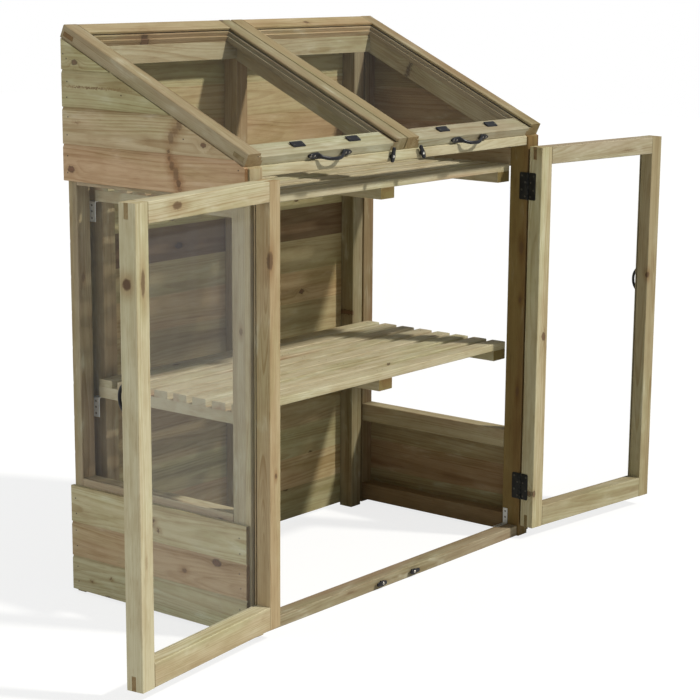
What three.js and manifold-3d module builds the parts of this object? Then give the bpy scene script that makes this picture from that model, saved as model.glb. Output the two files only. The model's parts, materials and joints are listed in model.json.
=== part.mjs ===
// A wooden mini greenhouse: a softwood frame with boarded ends and back, clear side panes, two glazed
// doors, two glazed roof lids hinged at the back, slatted shelves, and small turn buttons for the doors.
// Millimetres, +Z up. Until the last lines the origin is on the ground, midway between the front posts,
// in the plane of their front faces; the front looks along -Y.

import * as THREE from "three";
import { mergeVertices } from "three/addons/utils/BufferGeometryUtils.js";
import Module from "manifold-3d";

const wasm = await Module();
wasm.setup();

// Shared values
const seat = 0.3; // clearance between two pieces that rest on or against each other
const overrun = 5; // how far a cutter runs past what it cuts
const arris = 1.5; // planed edge on the timbers

// Frame
const frameWidth = 1200; // over the front posts' outer faces
const frameDepth = 607; // from the posts' front faces to the stiles' back faces
const postWidth = 45; // across the house, also the thickness of the whole side frame
const postDepth = 58;
const backStileDepth = 29;
const rafterHeight = 45;
const centreRafterWidth = 45;
const baseRailBottom = 10;
const baseRailHeight = 50;
const sillBottom = 255;
const sillHeight = 52;
const headerBelowRail = 61.5; // from the front top rail's underside down to the headers' undersides
const headerHeight = 50;
const frontRailSetback = 5;
const frontRailDepth = 45;
const bottomRailHeight = 30;
const battenWidth = 45;
const battenDepth = 45;
const battenInset = 26; // from the side frame's inner plane to the outer batten
const backRailHeight = 45;

// Roof
const roofSlope = THREE.MathUtils.degToRad(24.5);
const lidFrontY = 10; // from the posts' front plane back to the lids' lower front arris
const lidAboveRail = 26.5; // from the front top rail's underside up to that arris
const lidRestGap = 0.4; // between the closed lids and the frame, square to the slope

// Boards
const boardThickness = 11.5;
const boardCover = 91.5; // from one joint to the next
const boardStep = 4; // how far a board's thinned top edge lies back under the next board
const boardTaper = 9; // height of that thinned edge
const boardBottom = 8; // above the ground
const boardFront = 5; // the side boards' front ends, behind the posts' front faces
const boardsPastStile = 4; // the side boards' back ends, behind the back stiles
const backBoardsInset = 12; // from the posts' outer faces in to the back boards' ends
const backBoardsBelowPin = 5.0963; // from the lid hinges' pins down to the back boards' top

// Side panes
const sheetThickness = 3;
const paneFront = 16;
const paneBackInset = 17; // from the stiles' back faces to the panes' back edges
const sillUncovered = 20; // height of sill that the boards leave for the pane
const headerCovered = 11; // height of header that the upper boards leave for the pane

// Doors
const doorMeetingGap = 6; // between the closed doors' free edges
const doorHeight = 1089.5;
const doorThickness = 45;
const doorStileWidth = 45;
const doorTopRailHeight = 48;
const doorBottomRailHeight = 58;
const doorHingeGap = 4; // between a closed door and its post
const doorEndGap = 3; // above and below a door
const doorOpening = { left: 172.9, right: 173.7 }; // degrees from closed, as the photograph shows them
const grooveDepth = 10;
const grooveFromInside = 38; // from a door's inner face to its pane
const tenonThickness = 11.5;
const tenonHeight = 35;
const tenonFromOutside = 14.5;

// Door hinges
const pinForward = 2.6; // the pins stand in front of the posts' faces
const barrelRadius = 3;
const hingeHeight = 76;
const hingeLeafWidth = 25;
const hingeLeafThickness = 1.4;
const lowHingeRise = 117; // from a door's lower end up to its lower hinge
const highHingeDrop = 110.5; // from its upper end down to its upper hinge
const knuckleCount = 5;
const knuckleGroove = 0.6;
const pinHeadRadius = 2.1;
const pinHeadHeight = 1.2;
const barrelSegments = 10;

// Lids
const lidThickness = 33.5;
const lidOverhang = 8; // past the posts' outer faces
const lidSeam = 4;
const lidTopWidth = 45; // a lid stile's width above its pane
const lidLipWidth = 51; // its width just below the pane
const lidFootWidth = 57; // and its width at the bottom
const lidFootHeight = 13.5;
const lidGlassLevel = 23.5; // the lip that the pane lies on
const lidBottomRailWidth = 58;
const lidGrooveWidth = sheetThickness + seat * 2;
const lidPaneFront = 41; // the pane laps this far from the front, over the bottom rail
const lidTenonInset = 8; // from a rail's edge to its tenon
const lidTenonWidth = 35;
const lidTenonBottom = 8;

// Lid hinges
const lidLeafWidth = 60;
const lidLeafHeight = 24;
const lidLeafThickness = 1.6;
const lidBarrelClearance = 0.8; // from a barrel's top to the lid's underside
const lidPinBehindBoards = 1.8129; // from the back boards' outer face back to the pins
const lidHingeInset = 110; // from a lid's ends to its hinges' centres
const backLeafHeight = 26;

// Handles
const lidHandle = { length: 162, bow: 98, width: 17, rise: 22, foot: 6, grip: 9 };
const doorHandle = { length: 95, bow: 74, width: 14, rise: 20, foot: 6, grip: 8 };
const lidHandleX = { left: -305, right: 278 };
const lidHandleLevel = 12.5; // above the lid's underside
const doorHandleLevel = 694; // above the ground
const handleStations = 32;
const handleSides = 12;
const stationPower = 0.8; // below 1, the stations stand closer at the feet
const bowPower = 2.4; // how squarely the bow turns out of its feet
const footPower = 0.45; // of a foot's section, nearly a rectangle; a round grip has 1
const tipPower = 8; // how late a foot narrows to its tip
const tipLeast = 0.1; // the square of the width share that is left at a tip

// Turn buttons
const buttonLongArm = 24;
const buttonShortArm = 15;
const buttonHubRadius = 7.5;
const buttonArmRadius = 5.5;
const buttonThickness = 5;
const buttonClearance = 0.9; // behind a button, in front of the closed doors' faces
const buttonBossRadius = 5;
const buttonDomeRadius = 4;
const buttonDomeHeight = 1.8;
const buttonStations = 14;
const roundSegments = 20;
const topButtonRise = 13; // from the top rail's lower edge to the pivots
const bottomButtonLevel = 16;
const topButtons = { left: { x: -61, turn: 13 }, right: { x: 65, turn: -28 } };
const bottomButtons = { left: { x: -83, turn: -90 }, right: { x: 53, turn: 90 } };

// Shelves
const slatCount = 8;
const slatWidth = 45;
const slatThickness = 20;
const slatFront = 60;
const slatBackGap = 2; // from the last slat to the back battens
const shelfEndGap = 2.5; // from the slats' ends to the side frames
const bearerWidth = 56;
const bearerHeight = 30;
const bearerLet = 1; // how far the slats are let into the bearers
const middleShelfTop = 565;
const topShelfDrop = 55.5; // from the front top rail's underside down to the top shelf

// Worked out from the values above
const half = frameWidth / 2;
const inner = half - postWidth; // the side frames' inner planes
const stileFront = frameDepth - backStileDepth;
const battenFront = frameDepth - battenDepth;
const boardBack = frameDepth + boardsPastStile;
const paneBack = frameDepth - paneBackInset;
const backBoardsHalfWidth = half - backBoardsInset;
const doorWidth = inner - doorHingeGap - doorMeetingGap / 2;
const doorBottom = bottomRailHeight + doorEndGap;
const doorTop = doorBottom + doorHeight;
const hingeCentres = [doorBottom + lowHingeRise, doorTop - highHingeDrop];
const topRailBottom = doorTop + doorEndGap;
const headerBottom = topRailBottom - headerBelowRail;
const shelfTops = { middle: middleShelfTop, top: topRailBottom - topShelfDrop };
const slatBack = battenFront - slatBackGap;
const bearerBack = battenFront - seat;
const lowerBoardsTop = sillBottom + sillHeight - sillUncovered;
const upperBoardsBottom = headerBottom + headerCovered;
const pinX = inner - doorHingeGap / 2;
const grooveFromOutside = doorThickness - grooveFromInside - sheetThickness - seat * 2;
const cosSlope = Math.cos(roofSlope);
const sinSlope = Math.sin(roofSlope);
const lidFrontZ = topRailBottom + lidAboveRail;
const lidReach = half + lidOverhang; // from the house's middle to a lid's outer face
const lidPinZ = -barrelRadius - lidBarrelClearance; // in a lid's own frame
const lidPinWorldY = frameDepth + seat + boardThickness + lidPinBehindBoards;
const lidPinY = (lidPinWorldY - lidFrontY + lidPinZ * sinSlope) / cosSlope; // along the slope
const lidPinWorldZ = lidFrontZ + lidPinY * sinSlope + lidPinZ * cosSlope;
const lidLength = lidPinY - seat - barrelRadius;
const backBoardsTop = lidPinWorldZ - backBoardsBelowPin;
const buttonBack = frontRailSetback - seat; // the boss's foot, just clear of the rail
const sides = { left: -1, right: 1 };

const timber = new THREE.MeshStandardMaterial({ color: 0xb7ad84, roughness: 0.75, metalness: 0 });
const paleTimber = new THREE.MeshStandardMaterial({ color: 0xcdc498, roughness: 0.72, metalness: 0 });
const boardTimber = new THREE.MeshStandardMaterial({ color: 0xb0956f, roughness: 0.78, metalness: 0 });
const sheet = new THREE.MeshStandardMaterial({
  color: 0xe6eef0,
  roughness: 0.08,
  metalness: 0,
  transparent: true,
  opacity: 0.35,
});
const blackIron = new THREE.MeshStandardMaterial({ color: 0x17171a, roughness: 0.45, metalness: 0.6 });
const blackPlastic = new THREE.MeshStandardMaterial({ color: 0x1c1c20, roughness: 0.35, metalness: 0 });

// Solids and geometry

function solidOf(geometry) {
  const bare = geometry.clone();
  bare.deleteAttribute("normal");
  bare.deleteAttribute("uv");
  const merged = mergeVertices(bare, 1e-4);
  return new wasm.Manifold(
    new wasm.Mesh({
      numProp: 3,
      vertProperties: new Float32Array(merged.attributes.position.array),
      triVerts: new Uint32Array(merged.index.array),
    }),
  );
}

function meshOf(name, solid, material) {
  const data = solid.getMesh();
  const geometry = new THREE.BufferGeometry();
  geometry.setAttribute("position", new THREE.BufferAttribute(data.vertProperties, 3));
  geometry.setIndex(new THREE.BufferAttribute(data.triVerts, 1));
  geometry.computeVertexNormals();
  const mesh = new THREE.Mesh(geometry, material);
  mesh.name = name;
  return mesh;
}

function joined(first, ...rest) {
  return rest.reduce((whole, piece) => whole.add(piece), first);
}

function cut(solid, ...cutters) {
  return cutters.reduce((whole, cutter) => whole.subtract(cutter), solid);
}

function block(x0, x1, y0, y1, z0, z1) {
  const geometry = new THREE.BoxGeometry(Math.abs(x1 - x0), Math.abs(y1 - y0), Math.abs(z1 - z0));
  geometry.translate((x0 + x1) / 2, (y0 + y1) / 2, (z0 + z1) / 2);
  return solidOf(geometry);
}

// An outline drawn across an axis and run along it: (y, z) for x, (x, z) for y and (x, y) for z.
function bar(outline, axis, from, to) {
  const shape = new THREE.Shape(outline.map(([u, v]) => new THREE.Vector2(u, v)));
  const geometry = new THREE.ExtrudeGeometry(shape, { depth: to - from, bevelEnabled: false });
  const turn = new THREE.Matrix4();
  const [ux, uy, uz] = [
    new THREE.Vector3(1, 0, 0),
    new THREE.Vector3(0, 1, 0),
    new THREE.Vector3(0, 0, 1),
  ];
  if (axis === "x") turn.makeBasis(uy, uz, ux).setPosition(from, 0, 0);
  if (axis === "y") turn.makeBasis(ux, uz, uy.clone().negate()).setPosition(0, to, 0);
  if (axis === "z") turn.makeBasis(ux, uy, uz).setPosition(0, 0, from);
  geometry.applyMatrix4(turn);
  return solidOf(geometry);
}

// A rectangle with planed corners.
function planed(u0, u1, v0, v1, edge = arris) {
  return [
    [u0 + edge, v0],
    [u1 - edge, v0],
    [u1, v0 + edge],
    [u1, v1 - edge],
    [u1 - edge, v1],
    [u0 + edge, v1],
    [u0, v1 - edge],
    [u0, v0 + edge],
  ];
}

// A disc or post round the Y axis.
function disc(x, z, radius, y0, y1) {
  const geometry = new THREE.CylinderGeometry(radius, radius, Math.abs(y1 - y0), roundSegments);
  geometry.translate(x, (y0 + y1) / 2, 0);
  geometry.translate(0, 0, z);
  return solidOf(geometry);
}

// The frame below the roof's slope

function roofLevel(y, drop = 0) {
  return lidFrontZ + (y - lidFrontY) * Math.tan(roofSlope) - drop / cosSlope;
}

const frameBackEdge = boardBack + overrun;
const highest = roofLevel(frameBackEdge) + overrun;
const aboveRoof = bar(
  [
    [-overrun, roofLevel(-overrun, lidRestGap)],
    [frameBackEdge, roofLevel(frameBackEdge, lidRestGap)],
    [frameBackEdge, highest],
    [-overrun, highest],
  ],
  "x",
  -half - postWidth,
  half + postWidth,
);

// The outline of boards that step back under each other: u is the distance out from the frame.
function boardsOutline(bottom, top) {
  const points = [
    [0, bottom],
    [boardThickness, bottom],
  ];
  for (let joint = bottom + boardCover; joint < top - boardCover / 4; joint += boardCover) {
    points.push([boardThickness, joint - boardTaper]);
    points.push([boardThickness - boardStep, joint]);
    points.push([boardThickness, joint]);
  }
  points.push([boardThickness, top], [0, top]);
  return points;
}

function sideFrame(name, side) {
  const out = side * half;
  const back = side * inner;
  const [x0, x1] = side < 0 ? [out, back] : [back, out];
  const group = new THREE.Group();
  const railFront = postDepth + seat;
  const railBack = stileFront - seat;
  const post = bar(planed(x0, x1, 0, postDepth), "z", 0, highest);
  const stile = bar(planed(x0, x1, stileFront, frameDepth), "z", 0, highest);
  const rafter = bar(
    [
      [railFront, roofLevel(railFront, lidRestGap)],
      [railFront, roofLevel(railFront, lidRestGap + rafterHeight)],
      [railBack, roofLevel(railBack, lidRestGap + rafterHeight)],
      [railBack, roofLevel(railBack, lidRestGap)],
    ],
    "x",
    x0,
    x1,
  );
  const rail = (bottom, height) => bar(planed(x0, x1, bottom, bottom + height), "y", railFront, railBack);
  const boards = (bottom, top) => {
    const outline = boardsOutline(bottom, top).map(([u, z]) => [side * (half + seat + u), z]);
    return bar(outline, "y", boardFront, boardBack);
  };
  const paneIn = side * (half + seat);
  const paneOut = side * (half + seat + sheetThickness);
  const pane = block(
    paneIn,
    paneOut,
    paneFront,
    paneBack,
    lowerBoardsTop + seat,
    upperBoardsBottom - seat,
  );
  group.add(
    meshOf("front_post_" + name, cut(post, aboveRoof), timber),
    meshOf("back_stile_" + name, cut(stile, aboveRoof), timber),
    meshOf("side_rafter_" + name, rafter, timber),
    meshOf("side_header_" + name, rail(headerBottom, headerHeight), timber),
    meshOf("side_sill_" + name, rail(sillBottom, sillHeight), timber),
    meshOf("side_base_rail_" + name, rail(baseRailBottom, baseRailHeight), timber),
    meshOf("lower_side_boards_" + name, boards(boardBottom, lowerBoardsTop), boardTimber),
    meshOf("upper_side_boards_" + name, cut(boards(upperBoardsBottom, highest), aboveRoof), boardTimber),
    meshOf("side_pane_" + name, pane, sheet),
  );
  return group;
}

function backFrame() {
  const group = new THREE.Group();
  const railFrontLevel = roofLevel(battenFront, lidRestGap);
  const railBottom = railFrontLevel - backRailHeight;
  const reach = inner - seat;
  const battenBack = frameDepth;
  const batten = (centre) =>
    bar(
      planed(centre - battenWidth / 2, centre + battenWidth / 2, battenFront, battenBack),
      "z",
      0,
      railBottom - seat,
    );
  const outerBatten = inner - battenInset - battenWidth / 2;
  const rail = bar(
    [
      [battenFront, railBottom],
      [battenBack, railBottom],
      [battenBack, roofLevel(battenBack, lidRestGap)],
      [battenFront, railFrontLevel],
    ],
    "x",
    -reach,
    reach,
  );
  const boards = bar(
    boardsOutline(boardBottom, backBoardsTop).map(([u, z]) => [frameDepth + seat + u, z]),
    "x",
    -backBoardsHalfWidth,
    backBoardsHalfWidth,
  );
  group.add(
    meshOf("back_batten_left", batten(-outerBatten), timber),
    meshOf("back_batten_centre", batten(0), timber),
    meshOf("back_batten_right", batten(outerBatten), timber),
    meshOf("back_top_rail", rail, timber),
    meshOf("back_boards", joined(boards, ...lidHingeCentres().map(backLeaf)), boardTimber),
  );
  return group;
}

function frontFrame() {
  const group = new THREE.Group();
  const reach = inner - seat;
  const front = frontRailSetback;
  const back = front + frontRailDepth;
  const topRail = bar(
    [
      [front + arris, topRailBottom],
      [back - arris, topRailBottom],
      [back, topRailBottom + arris],
      [back, roofLevel(back, lidRestGap)],
      [front, roofLevel(front, lidRestGap)],
      [front, topRailBottom + arris],
    ],
    "x",
    -reach,
    reach,
  );
  const bottomRail = bar(planed(front, back, 0, bottomRailHeight), "x", -reach, reach);
  const rafterFront = back + seat;
  const rafterBack = battenFront - seat;
  const rafter = bar(
    [
      [rafterFront, roofLevel(rafterFront, lidRestGap)],
      [rafterFront, roofLevel(rafterFront, lidRestGap + rafterHeight)],
      [rafterBack, roofLevel(rafterBack, lidRestGap + rafterHeight)],
      [rafterBack, roofLevel(rafterBack, lidRestGap)],
    ],
    "x",
    -centreRafterWidth / 2,
    centreRafterWidth / 2,
  );
  group.add(
    meshOf("front_top_rail", topRail, paleTimber),
    meshOf("front_bottom_rail", bottomRail, timber),
    meshOf("centre_rafter", rafter, timber),
  );
  return group;
}

// Hinges

function lidHingeCentres() {
  const near = lidSeam / 2 + lidHingeInset;
  const far = lidReach - lidHingeInset;
  return [-far, -near, near, far];
}

// A barrel along an axis, grooved between its knuckles, with a pin head at each end.
function barrel(length) {
  const profile = [new THREE.Vector2(0, -length / 2 - pinHeadHeight)];
  profile.push(new THREE.Vector2(pinHeadRadius, -length / 2 - pinHeadHeight));
  profile.push(new THREE.Vector2(pinHeadRadius, -length / 2));
  profile.push(new THREE.Vector2(barrelRadius, -length / 2));
  for (let knuckle = 1; knuckle < knuckleCount; knuckle += 1) {
    const level = -length / 2 + (length * knuckle) / knuckleCount;
    profile.push(new THREE.Vector2(barrelRadius, level - knuckleGroove / 2));
    profile.push(new THREE.Vector2(barrelRadius - knuckleGroove, level));
    profile.push(new THREE.Vector2(barrelRadius, level + knuckleGroove / 2));
  }
  profile.push(new THREE.Vector2(barrelRadius, length / 2));
  profile.push(new THREE.Vector2(pinHeadRadius, length / 2));
  profile.push(new THREE.Vector2(pinHeadRadius, length / 2 + pinHeadHeight));
  profile.push(new THREE.Vector2(0, length / 2 + pinHeadHeight));
  return new THREE.LatheGeometry(profile, barrelSegments);
}

// The half of a lid hinge that is fixed to the back boards, with its barrel.
function backLeaf(x) {
  const tube = barrel(lidLeafWidth);
  tube.rotateZ(-Math.PI / 2);
  tube.translate(x, lidPinWorldY, lidPinWorldZ);
  const face = frameDepth + seat + boardThickness;
  const leaf = block(
    x - lidLeafWidth / 2,
    x + lidLeafWidth / 2,
    face - lidLeafThickness,
    face + lidLeafThickness,
    backBoardsTop - backLeafHeight,
    lidPinWorldZ,
  );
  return joined(leaf, solidOf(tube));
}

// The half of a door hinge that is fixed to the post, with its barrel.
function postHinge(name, side, level) {
  const tube = barrel(hingeHeight);
  tube.rotateX(Math.PI / 2);
  tube.translate(side * pinX, -pinForward, level);
  const leafOut = side * (inner - seat);
  const leafIn = side * (inner - seat - hingeLeafThickness);
  const leaf = block(
    leafOut,
    leafIn,
    -pinForward / 2,
    hingeLeafWidth,
    level - hingeHeight / 2,
    level + hingeHeight / 2,
  );
  return meshOf(name, joined(leaf, solidOf(tube)), blackIron);
}

// Handles

// A pull handle: its section runs from a flat screw foot into a round grip that stands off the face.
// u runs along the handle, v out of the face that carries it, and w across.
function bowHandle(size) {
  const vertices = [];
  const triangles = [];
  const reach = size.length / 2;
  const smooth = (t) => t * t * (3 - 2 * t);
  const lift = (u) => Math.max(0, 1 - Math.abs((2 * u) / size.bow) ** bowPower);
  const level = (u) => size.foot / 2 + seat + size.rise * lift(u);
  const stationShare = (i) => Math.cos((Math.PI * i) / handleStations);
  for (let i = 0; i <= handleStations; i += 1) {
    const along = reach * Math.sign(stationShare(i)) * Math.abs(stationShare(i)) ** stationPower;
    const step = size.length / handleStations / 4;
    const slope = Math.atan2(level(along + step) - level(along - step), 2 * step);
    const round = smooth(Math.min(1, 2 * lift(along)));
    const tip = Math.sqrt(Math.max(tipLeast, 1 - (Math.abs(along) / reach) ** tipPower));
    const halfWidth = (THREE.MathUtils.lerp(size.width, size.grip, round) / 2) * tip;
    const halfDepth = THREE.MathUtils.lerp(size.foot, size.grip, round) / 2;
    for (let k = 0; k < handleSides; k += 1) {
      const angle = (2 * Math.PI * (k + 0.5)) / handleSides;
      const power = THREE.MathUtils.lerp(footPower, 1, round);
      const across = Math.sign(Math.cos(angle)) * Math.abs(Math.cos(angle)) ** power * halfWidth;
      const out = Math.sign(Math.sin(angle)) * Math.abs(Math.sin(angle)) ** power * halfDepth;
      vertices.push(along - out * Math.sin(slope), level(along) + out * Math.cos(slope), across);
    }
  }
  for (let i = 0; i < handleStations; i += 1) {
    for (let k = 0; k < handleSides; k += 1) {
      const a = i * handleSides + k;
      const b = i * handleSides + ((k + 1) % handleSides);
      triangles.push(a, b, a + handleSides, b, b + handleSides, a + handleSides);
    }
  }
  const last = handleStations * handleSides;
  for (let k = 1; k < handleSides - 1; k += 1) {
    triangles.push(0, k + 1, k);
    triangles.push(last, last + k, last + k + 1);
  }
  const geometry = new THREE.BufferGeometry();
  geometry.setAttribute("position", new THREE.Float32BufferAttribute(vertices, 3));
  geometry.setIndex(triangles);
  return geometry;
}

// Doors

// A door's frame is drawn closed, from its pin: x runs to the free edge, y in from the outside.
function doorStile(near, far, grooveSide) {
  const y0 = pinForward;
  const y1 = y0 + doorThickness;
  const body = bar(planed(near, far, y0, y1), "z", doorBottom, doorTop);
  const [g0, g1] =
    grooveSide > 0 ? [far - grooveDepth, far + overrun] : [near - overrun, near + grooveDepth];
  const grooveY = y0 + grooveFromOutside;
  const grooveWidth = sheetThickness + seat * 2;
  const groove = block(g0, g1, grooveY, grooveY + grooveWidth, doorBottom - overrun, doorTop + overrun);
  const mortise = (z0, z1) =>
    block(
      near - overrun,
      far + overrun,
      y0 + tenonFromOutside - seat,
      y0 + tenonFromOutside + tenonThickness + seat,
      z0,
      z1,
    );
  return cut(
    body,
    groove,
    mortise(doorTop - tenonHeight - seat, doorTop + overrun),
    mortise(doorBottom - overrun, doorBottom + tenonHeight + seat),
  );
}

function doorRail(x0, x1, bottom, top, grooveUp) {
  const y0 = pinForward;
  const shoulder = doorStileWidth + seat;
  const body = bar(planed(y0, y0 + doorThickness, bottom, top), "x", x0 + shoulder, x1 - shoulder);
  const grooveY = y0 + grooveFromOutside;
  const [g0, g1] = grooveUp ? [top - grooveDepth, top + overrun] : [bottom - overrun, bottom + grooveDepth];
  const groove = block(x0, x1, grooveY, grooveY + sheetThickness + seat * 2, g0, g1);
  const [t0, t1] = grooveUp ? [bottom, bottom + tenonHeight] : [top - tenonHeight, top];
  const tenonY = y0 + tenonFromOutside;
  return joined(cut(body, groove), block(x0, x1, tenonY, tenonY + tenonThickness, t0, t1));
}

function door(name, side) {
  const group = new THREE.Group();
  const x0 = doorHingeGap / 2;
  const x1 = x0 + doorWidth;
  const y0 = pinForward;
  const leafStart = Math.hypot(barrelRadius, seat) + seat;
  const leafNear = x0 - hingeLeafThickness;
  const leaves = hingeCentres.map((level) =>
    block(
      leafNear,
      x0 + arris,
      leafStart,
      y0 + hingeLeafWidth,
      level - hingeHeight / 2,
      level + hingeHeight / 2,
    ),
  );
  const hingeStile = joined(doorStile(x0, x0 + doorStileWidth, 1), ...leaves);
  const freeStile = doorStile(x1 - doorStileWidth, x1, -1);
  const topRail = doorRail(x0, x1, doorTop - doorTopRailHeight, doorTop, false);
  const bottomRail = doorRail(x0, x1, doorBottom, doorBottom + doorBottomRailHeight, true);
  const paneSide = doorStileWidth - grooveDepth + seat;
  const paneY = y0 + grooveFromOutside + seat;
  const pane = block(
    x0 + paneSide,
    x1 - paneSide,
    paneY,
    paneY + sheetThickness,
    doorBottom + doorBottomRailHeight - grooveDepth + seat,
    doorTop - doorTopRailHeight + grooveDepth - seat,
  );
  const grip = bowHandle(doorHandle);
  grip.applyMatrix4(
    new THREE.Matrix4().makeBasis(
      new THREE.Vector3(0, 0, 1),
      new THREE.Vector3(0, -1, 0),
      new THREE.Vector3(1, 0, 0),
    ),
  );
  grip.translate(x1 - doorStileWidth / 2, y0, doorHandleLevel);
  const mirrored = (solid) => (side < 0 ? solid : solid.mirror([1, 0, 0]));
  group.add(
    meshOf("door_hinge_stile_" + name, mirrored(hingeStile), paleTimber),
    meshOf("door_free_stile_" + name, mirrored(freeStile), paleTimber),
    meshOf("door_top_rail_" + name, mirrored(topRail), paleTimber),
    meshOf("door_bottom_rail_" + name, mirrored(bottomRail), paleTimber),
    meshOf("door_pane_" + name, mirrored(pane), sheet),
    meshOf("door_handle_" + name, mirrored(solidOf(grip)), blackPlastic),
  );
  group.position.set(side * pinX, -pinForward, 0);
  group.rotation.z = side * THREE.MathUtils.degToRad(doorOpening[name]);
  return group;
}

// Lids

// The section of a lid's stiles and top rail: u runs in from the outer face and z up from the underside.
function lidSection(grow, outer, bottom, top, edge) {
  return [
    [outer, bottom],
    [lidFootWidth + grow, bottom],
    [lidFootWidth + grow, lidFootHeight + grow],
    [lidLipWidth + grow, lidFootHeight + grow],
    [lidLipWidth + grow, lidGlassLevel + grow],
    [lidTopWidth - grooveDepth + grow, lidGlassLevel + grow],
    [lidTopWidth - grooveDepth + grow, lidGlassLevel + lidGrooveWidth - grow],
    [lidTopWidth + grow, lidGlassLevel + lidGrooveWidth - grow],
    [lidTopWidth + grow, top - edge],
    [lidTopWidth + grow - edge, top],
    [outer + edge, top],
    [outer, top - edge],
  ];
}

function lid(name, side) {
  const group = new THREE.Group();
  const [x0, x1] = side < 0 ? [-lidReach, -lidSeam / 2] : [lidSeam / 2, lidReach];
  const section = lidSection(0, 0, 0, lidThickness, arris);
  const cutter = lidSection(seat, -overrun, -overrun, lidThickness + overrun, 0).filter(
    ([u, z], i, all) => i === 0 || u !== all[i - 1][0] || z !== all[i - 1][1],
  );
  const stile = (outline, from, to) => [
    bar(outline.map(([u, z]) => [x0 + u, z]), "y", from, to),
    bar(outline.map(([u, z]) => [x1 - u, z]), "y", from, to),
  ];
  const stiles = stile(section, 0, lidLength);
  const cutters = stile(cutter, -overrun, lidLength + overrun);
  const tenon = (from, grow) =>
    block(
      x0 - (grow ? overrun : 0),
      x1 + (grow ? overrun : 0),
      from - grow,
      from + lidTenonWidth + grow,
      lidTenonBottom - grow,
      lidTenonBottom + tenonThickness + grow,
    );
  const lowTenon = lidTenonInset;
  const highTenon = lidLength - lidTenonInset - lidTenonWidth;
  const topRail = joined(
    cut(bar(section.map(([u, z]) => [lidLength - u, z]), "x", x0, x1), ...cutters),
    tenon(highTenon, 0),
    ...lidHingeCentres()
      .filter((x) => x * side > 0)
      .map((x) =>
        block(
          x - lidLeafWidth / 2,
          x + lidLeafWidth / 2,
          lidLength - arris,
          lidLength + seat + lidLeafThickness,
          seat,
          lidLeafHeight,
        ),
      ),
  );
  const bottomRail = joined(
    cut(bar(planed(0, lidBottomRailWidth, 0, lidGlassLevel), "x", x0, x1), ...cutters),
    tenon(lowTenon, 0),
  );
  const mortised = (solid) => cut(solid, tenon(lowTenon, seat), tenon(highTenon, seat));
  const paneSide = lidTopWidth - grooveDepth + seat;
  const pane = block(
    x0 + paneSide,
    x1 - paneSide,
    lidPaneFront,
    lidLength - paneSide,
    lidGlassLevel + seat,
    lidGlassLevel + seat + sheetThickness,
  );
  const grip = bowHandle(lidHandle);
  grip.applyMatrix4(
    new THREE.Matrix4().makeBasis(
      new THREE.Vector3(1, 0, 0),
      new THREE.Vector3(0, -1, 0),
      new THREE.Vector3(0, 0, -1),
    ),
  );
  grip.translate(lidHandleX[name], 0, lidHandleLevel);
  const [outerStile, innerStile] = side < 0 ? stiles : [stiles[1], stiles[0]];
  group.add(
    meshOf("lid_outer_stile_" + name, mortised(outerStile), timber),
    meshOf("lid_inner_stile_" + name, mortised(innerStile), timber),
    meshOf("lid_top_rail_" + name, topRail, timber),
    meshOf("lid_bottom_rail_" + name, bottomRail, paleTimber),
    meshOf("lid_pane_" + name, pane, sheet),
    meshOf("lid_handle_" + name, solidOf(grip), blackPlastic),
  );
  group.position.set(0, lidFrontY, lidFrontZ);
  group.rotation.x = roofSlope;
  return group;
}

// Turn buttons

// A button drawn on its pivot with its long arm up: its face stands in front of the closed doors.
function buttonSolid() {
  const halfWidth = (u) => {
    const arm = u > 0 ? buttonLongArm : buttonShortArm;
    const swell = (buttonHubRadius - buttonArmRadius) * Math.exp(-((u / buttonHubRadius) ** 2));
    const end = Math.max(0, Math.abs(u) - (arm - buttonArmRadius)) / buttonArmRadius;
    return (buttonArmRadius + swell) * Math.sqrt(Math.max(0, 1 - end * end));
  };
  const right = [];
  const left = [];
  for (let i = 0; i <= buttonStations; i += 1) {
    const share = (1 - Math.cos((Math.PI * i) / buttonStations)) / 2;
    const u = THREE.MathUtils.lerp(-buttonShortArm, buttonLongArm, share);
    right.push([halfWidth(u), u]);
    if (i > 0 && i < buttonStations) left.unshift([-halfWidth(u), u]);
  }
  const front = -buttonClearance - buttonThickness;
  const plate = bar([...right, ...left], "y", front, -buttonClearance);
  const boss = disc(0, 0, buttonBossRadius, -buttonClearance - buttonThickness / 2, buttonBack);
  const dome = disc(0, 0, buttonDomeRadius, front - buttonDomeHeight, front + buttonThickness / 2);
  return joined(plate, boss, dome);
}

function button(name, place, level) {
  const mesh = meshOf(name, buttonSolid(), blackPlastic);
  mesh.position.set(place.x, 0, level);
  mesh.rotation.y = THREE.MathUtils.degToRad(place.turn);
  return mesh;
}

// Shelves

function shelf(name, top) {
  const reach = inner - shelfEndGap;
  const pitch = (slatBack - slatFront - slatWidth) / (slatCount - 1);
  const under = top - slatThickness;
  const slats = [];
  for (let i = 0; i < slatCount; i += 1) {
    const front = slatFront + i * pitch;
    slats.push(bar(planed(front, front + slatWidth, under, top), "x", -reach, reach));
  }
  const bearers = [-reach, -bearerWidth / 2, reach - bearerWidth].map((x) =>
    bar(
      planed(x, x + bearerWidth, under + bearerLet - bearerHeight, under + bearerLet),
      "y",
      slatFront,
      bearerBack,
    ),
  );
  return meshOf(name, joined(...slats, ...bearers), timber);
}

const house = new THREE.Group();
for (const [name, side] of Object.entries(sides)) {
  house.add(sideFrame(name, side), door(name, side), lid(name, side));
  hingeCentres.forEach((level, i) => {
    house.add(postHinge(["lower", "upper"][i] + "_door_hinge_" + name, side, level));
  });
  house.add(button("top_turn_button_" + name, topButtons[name], topRailBottom + topButtonRise));
  house.add(button("bottom_turn_button_" + name, bottomButtons[name], bottomButtonLevel));
}
house.add(backFrame(), frontFrame());
house.add(shelf("middle_shelf", shelfTops.middle), shelf("top_shelf", shelfTops.top));

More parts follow.
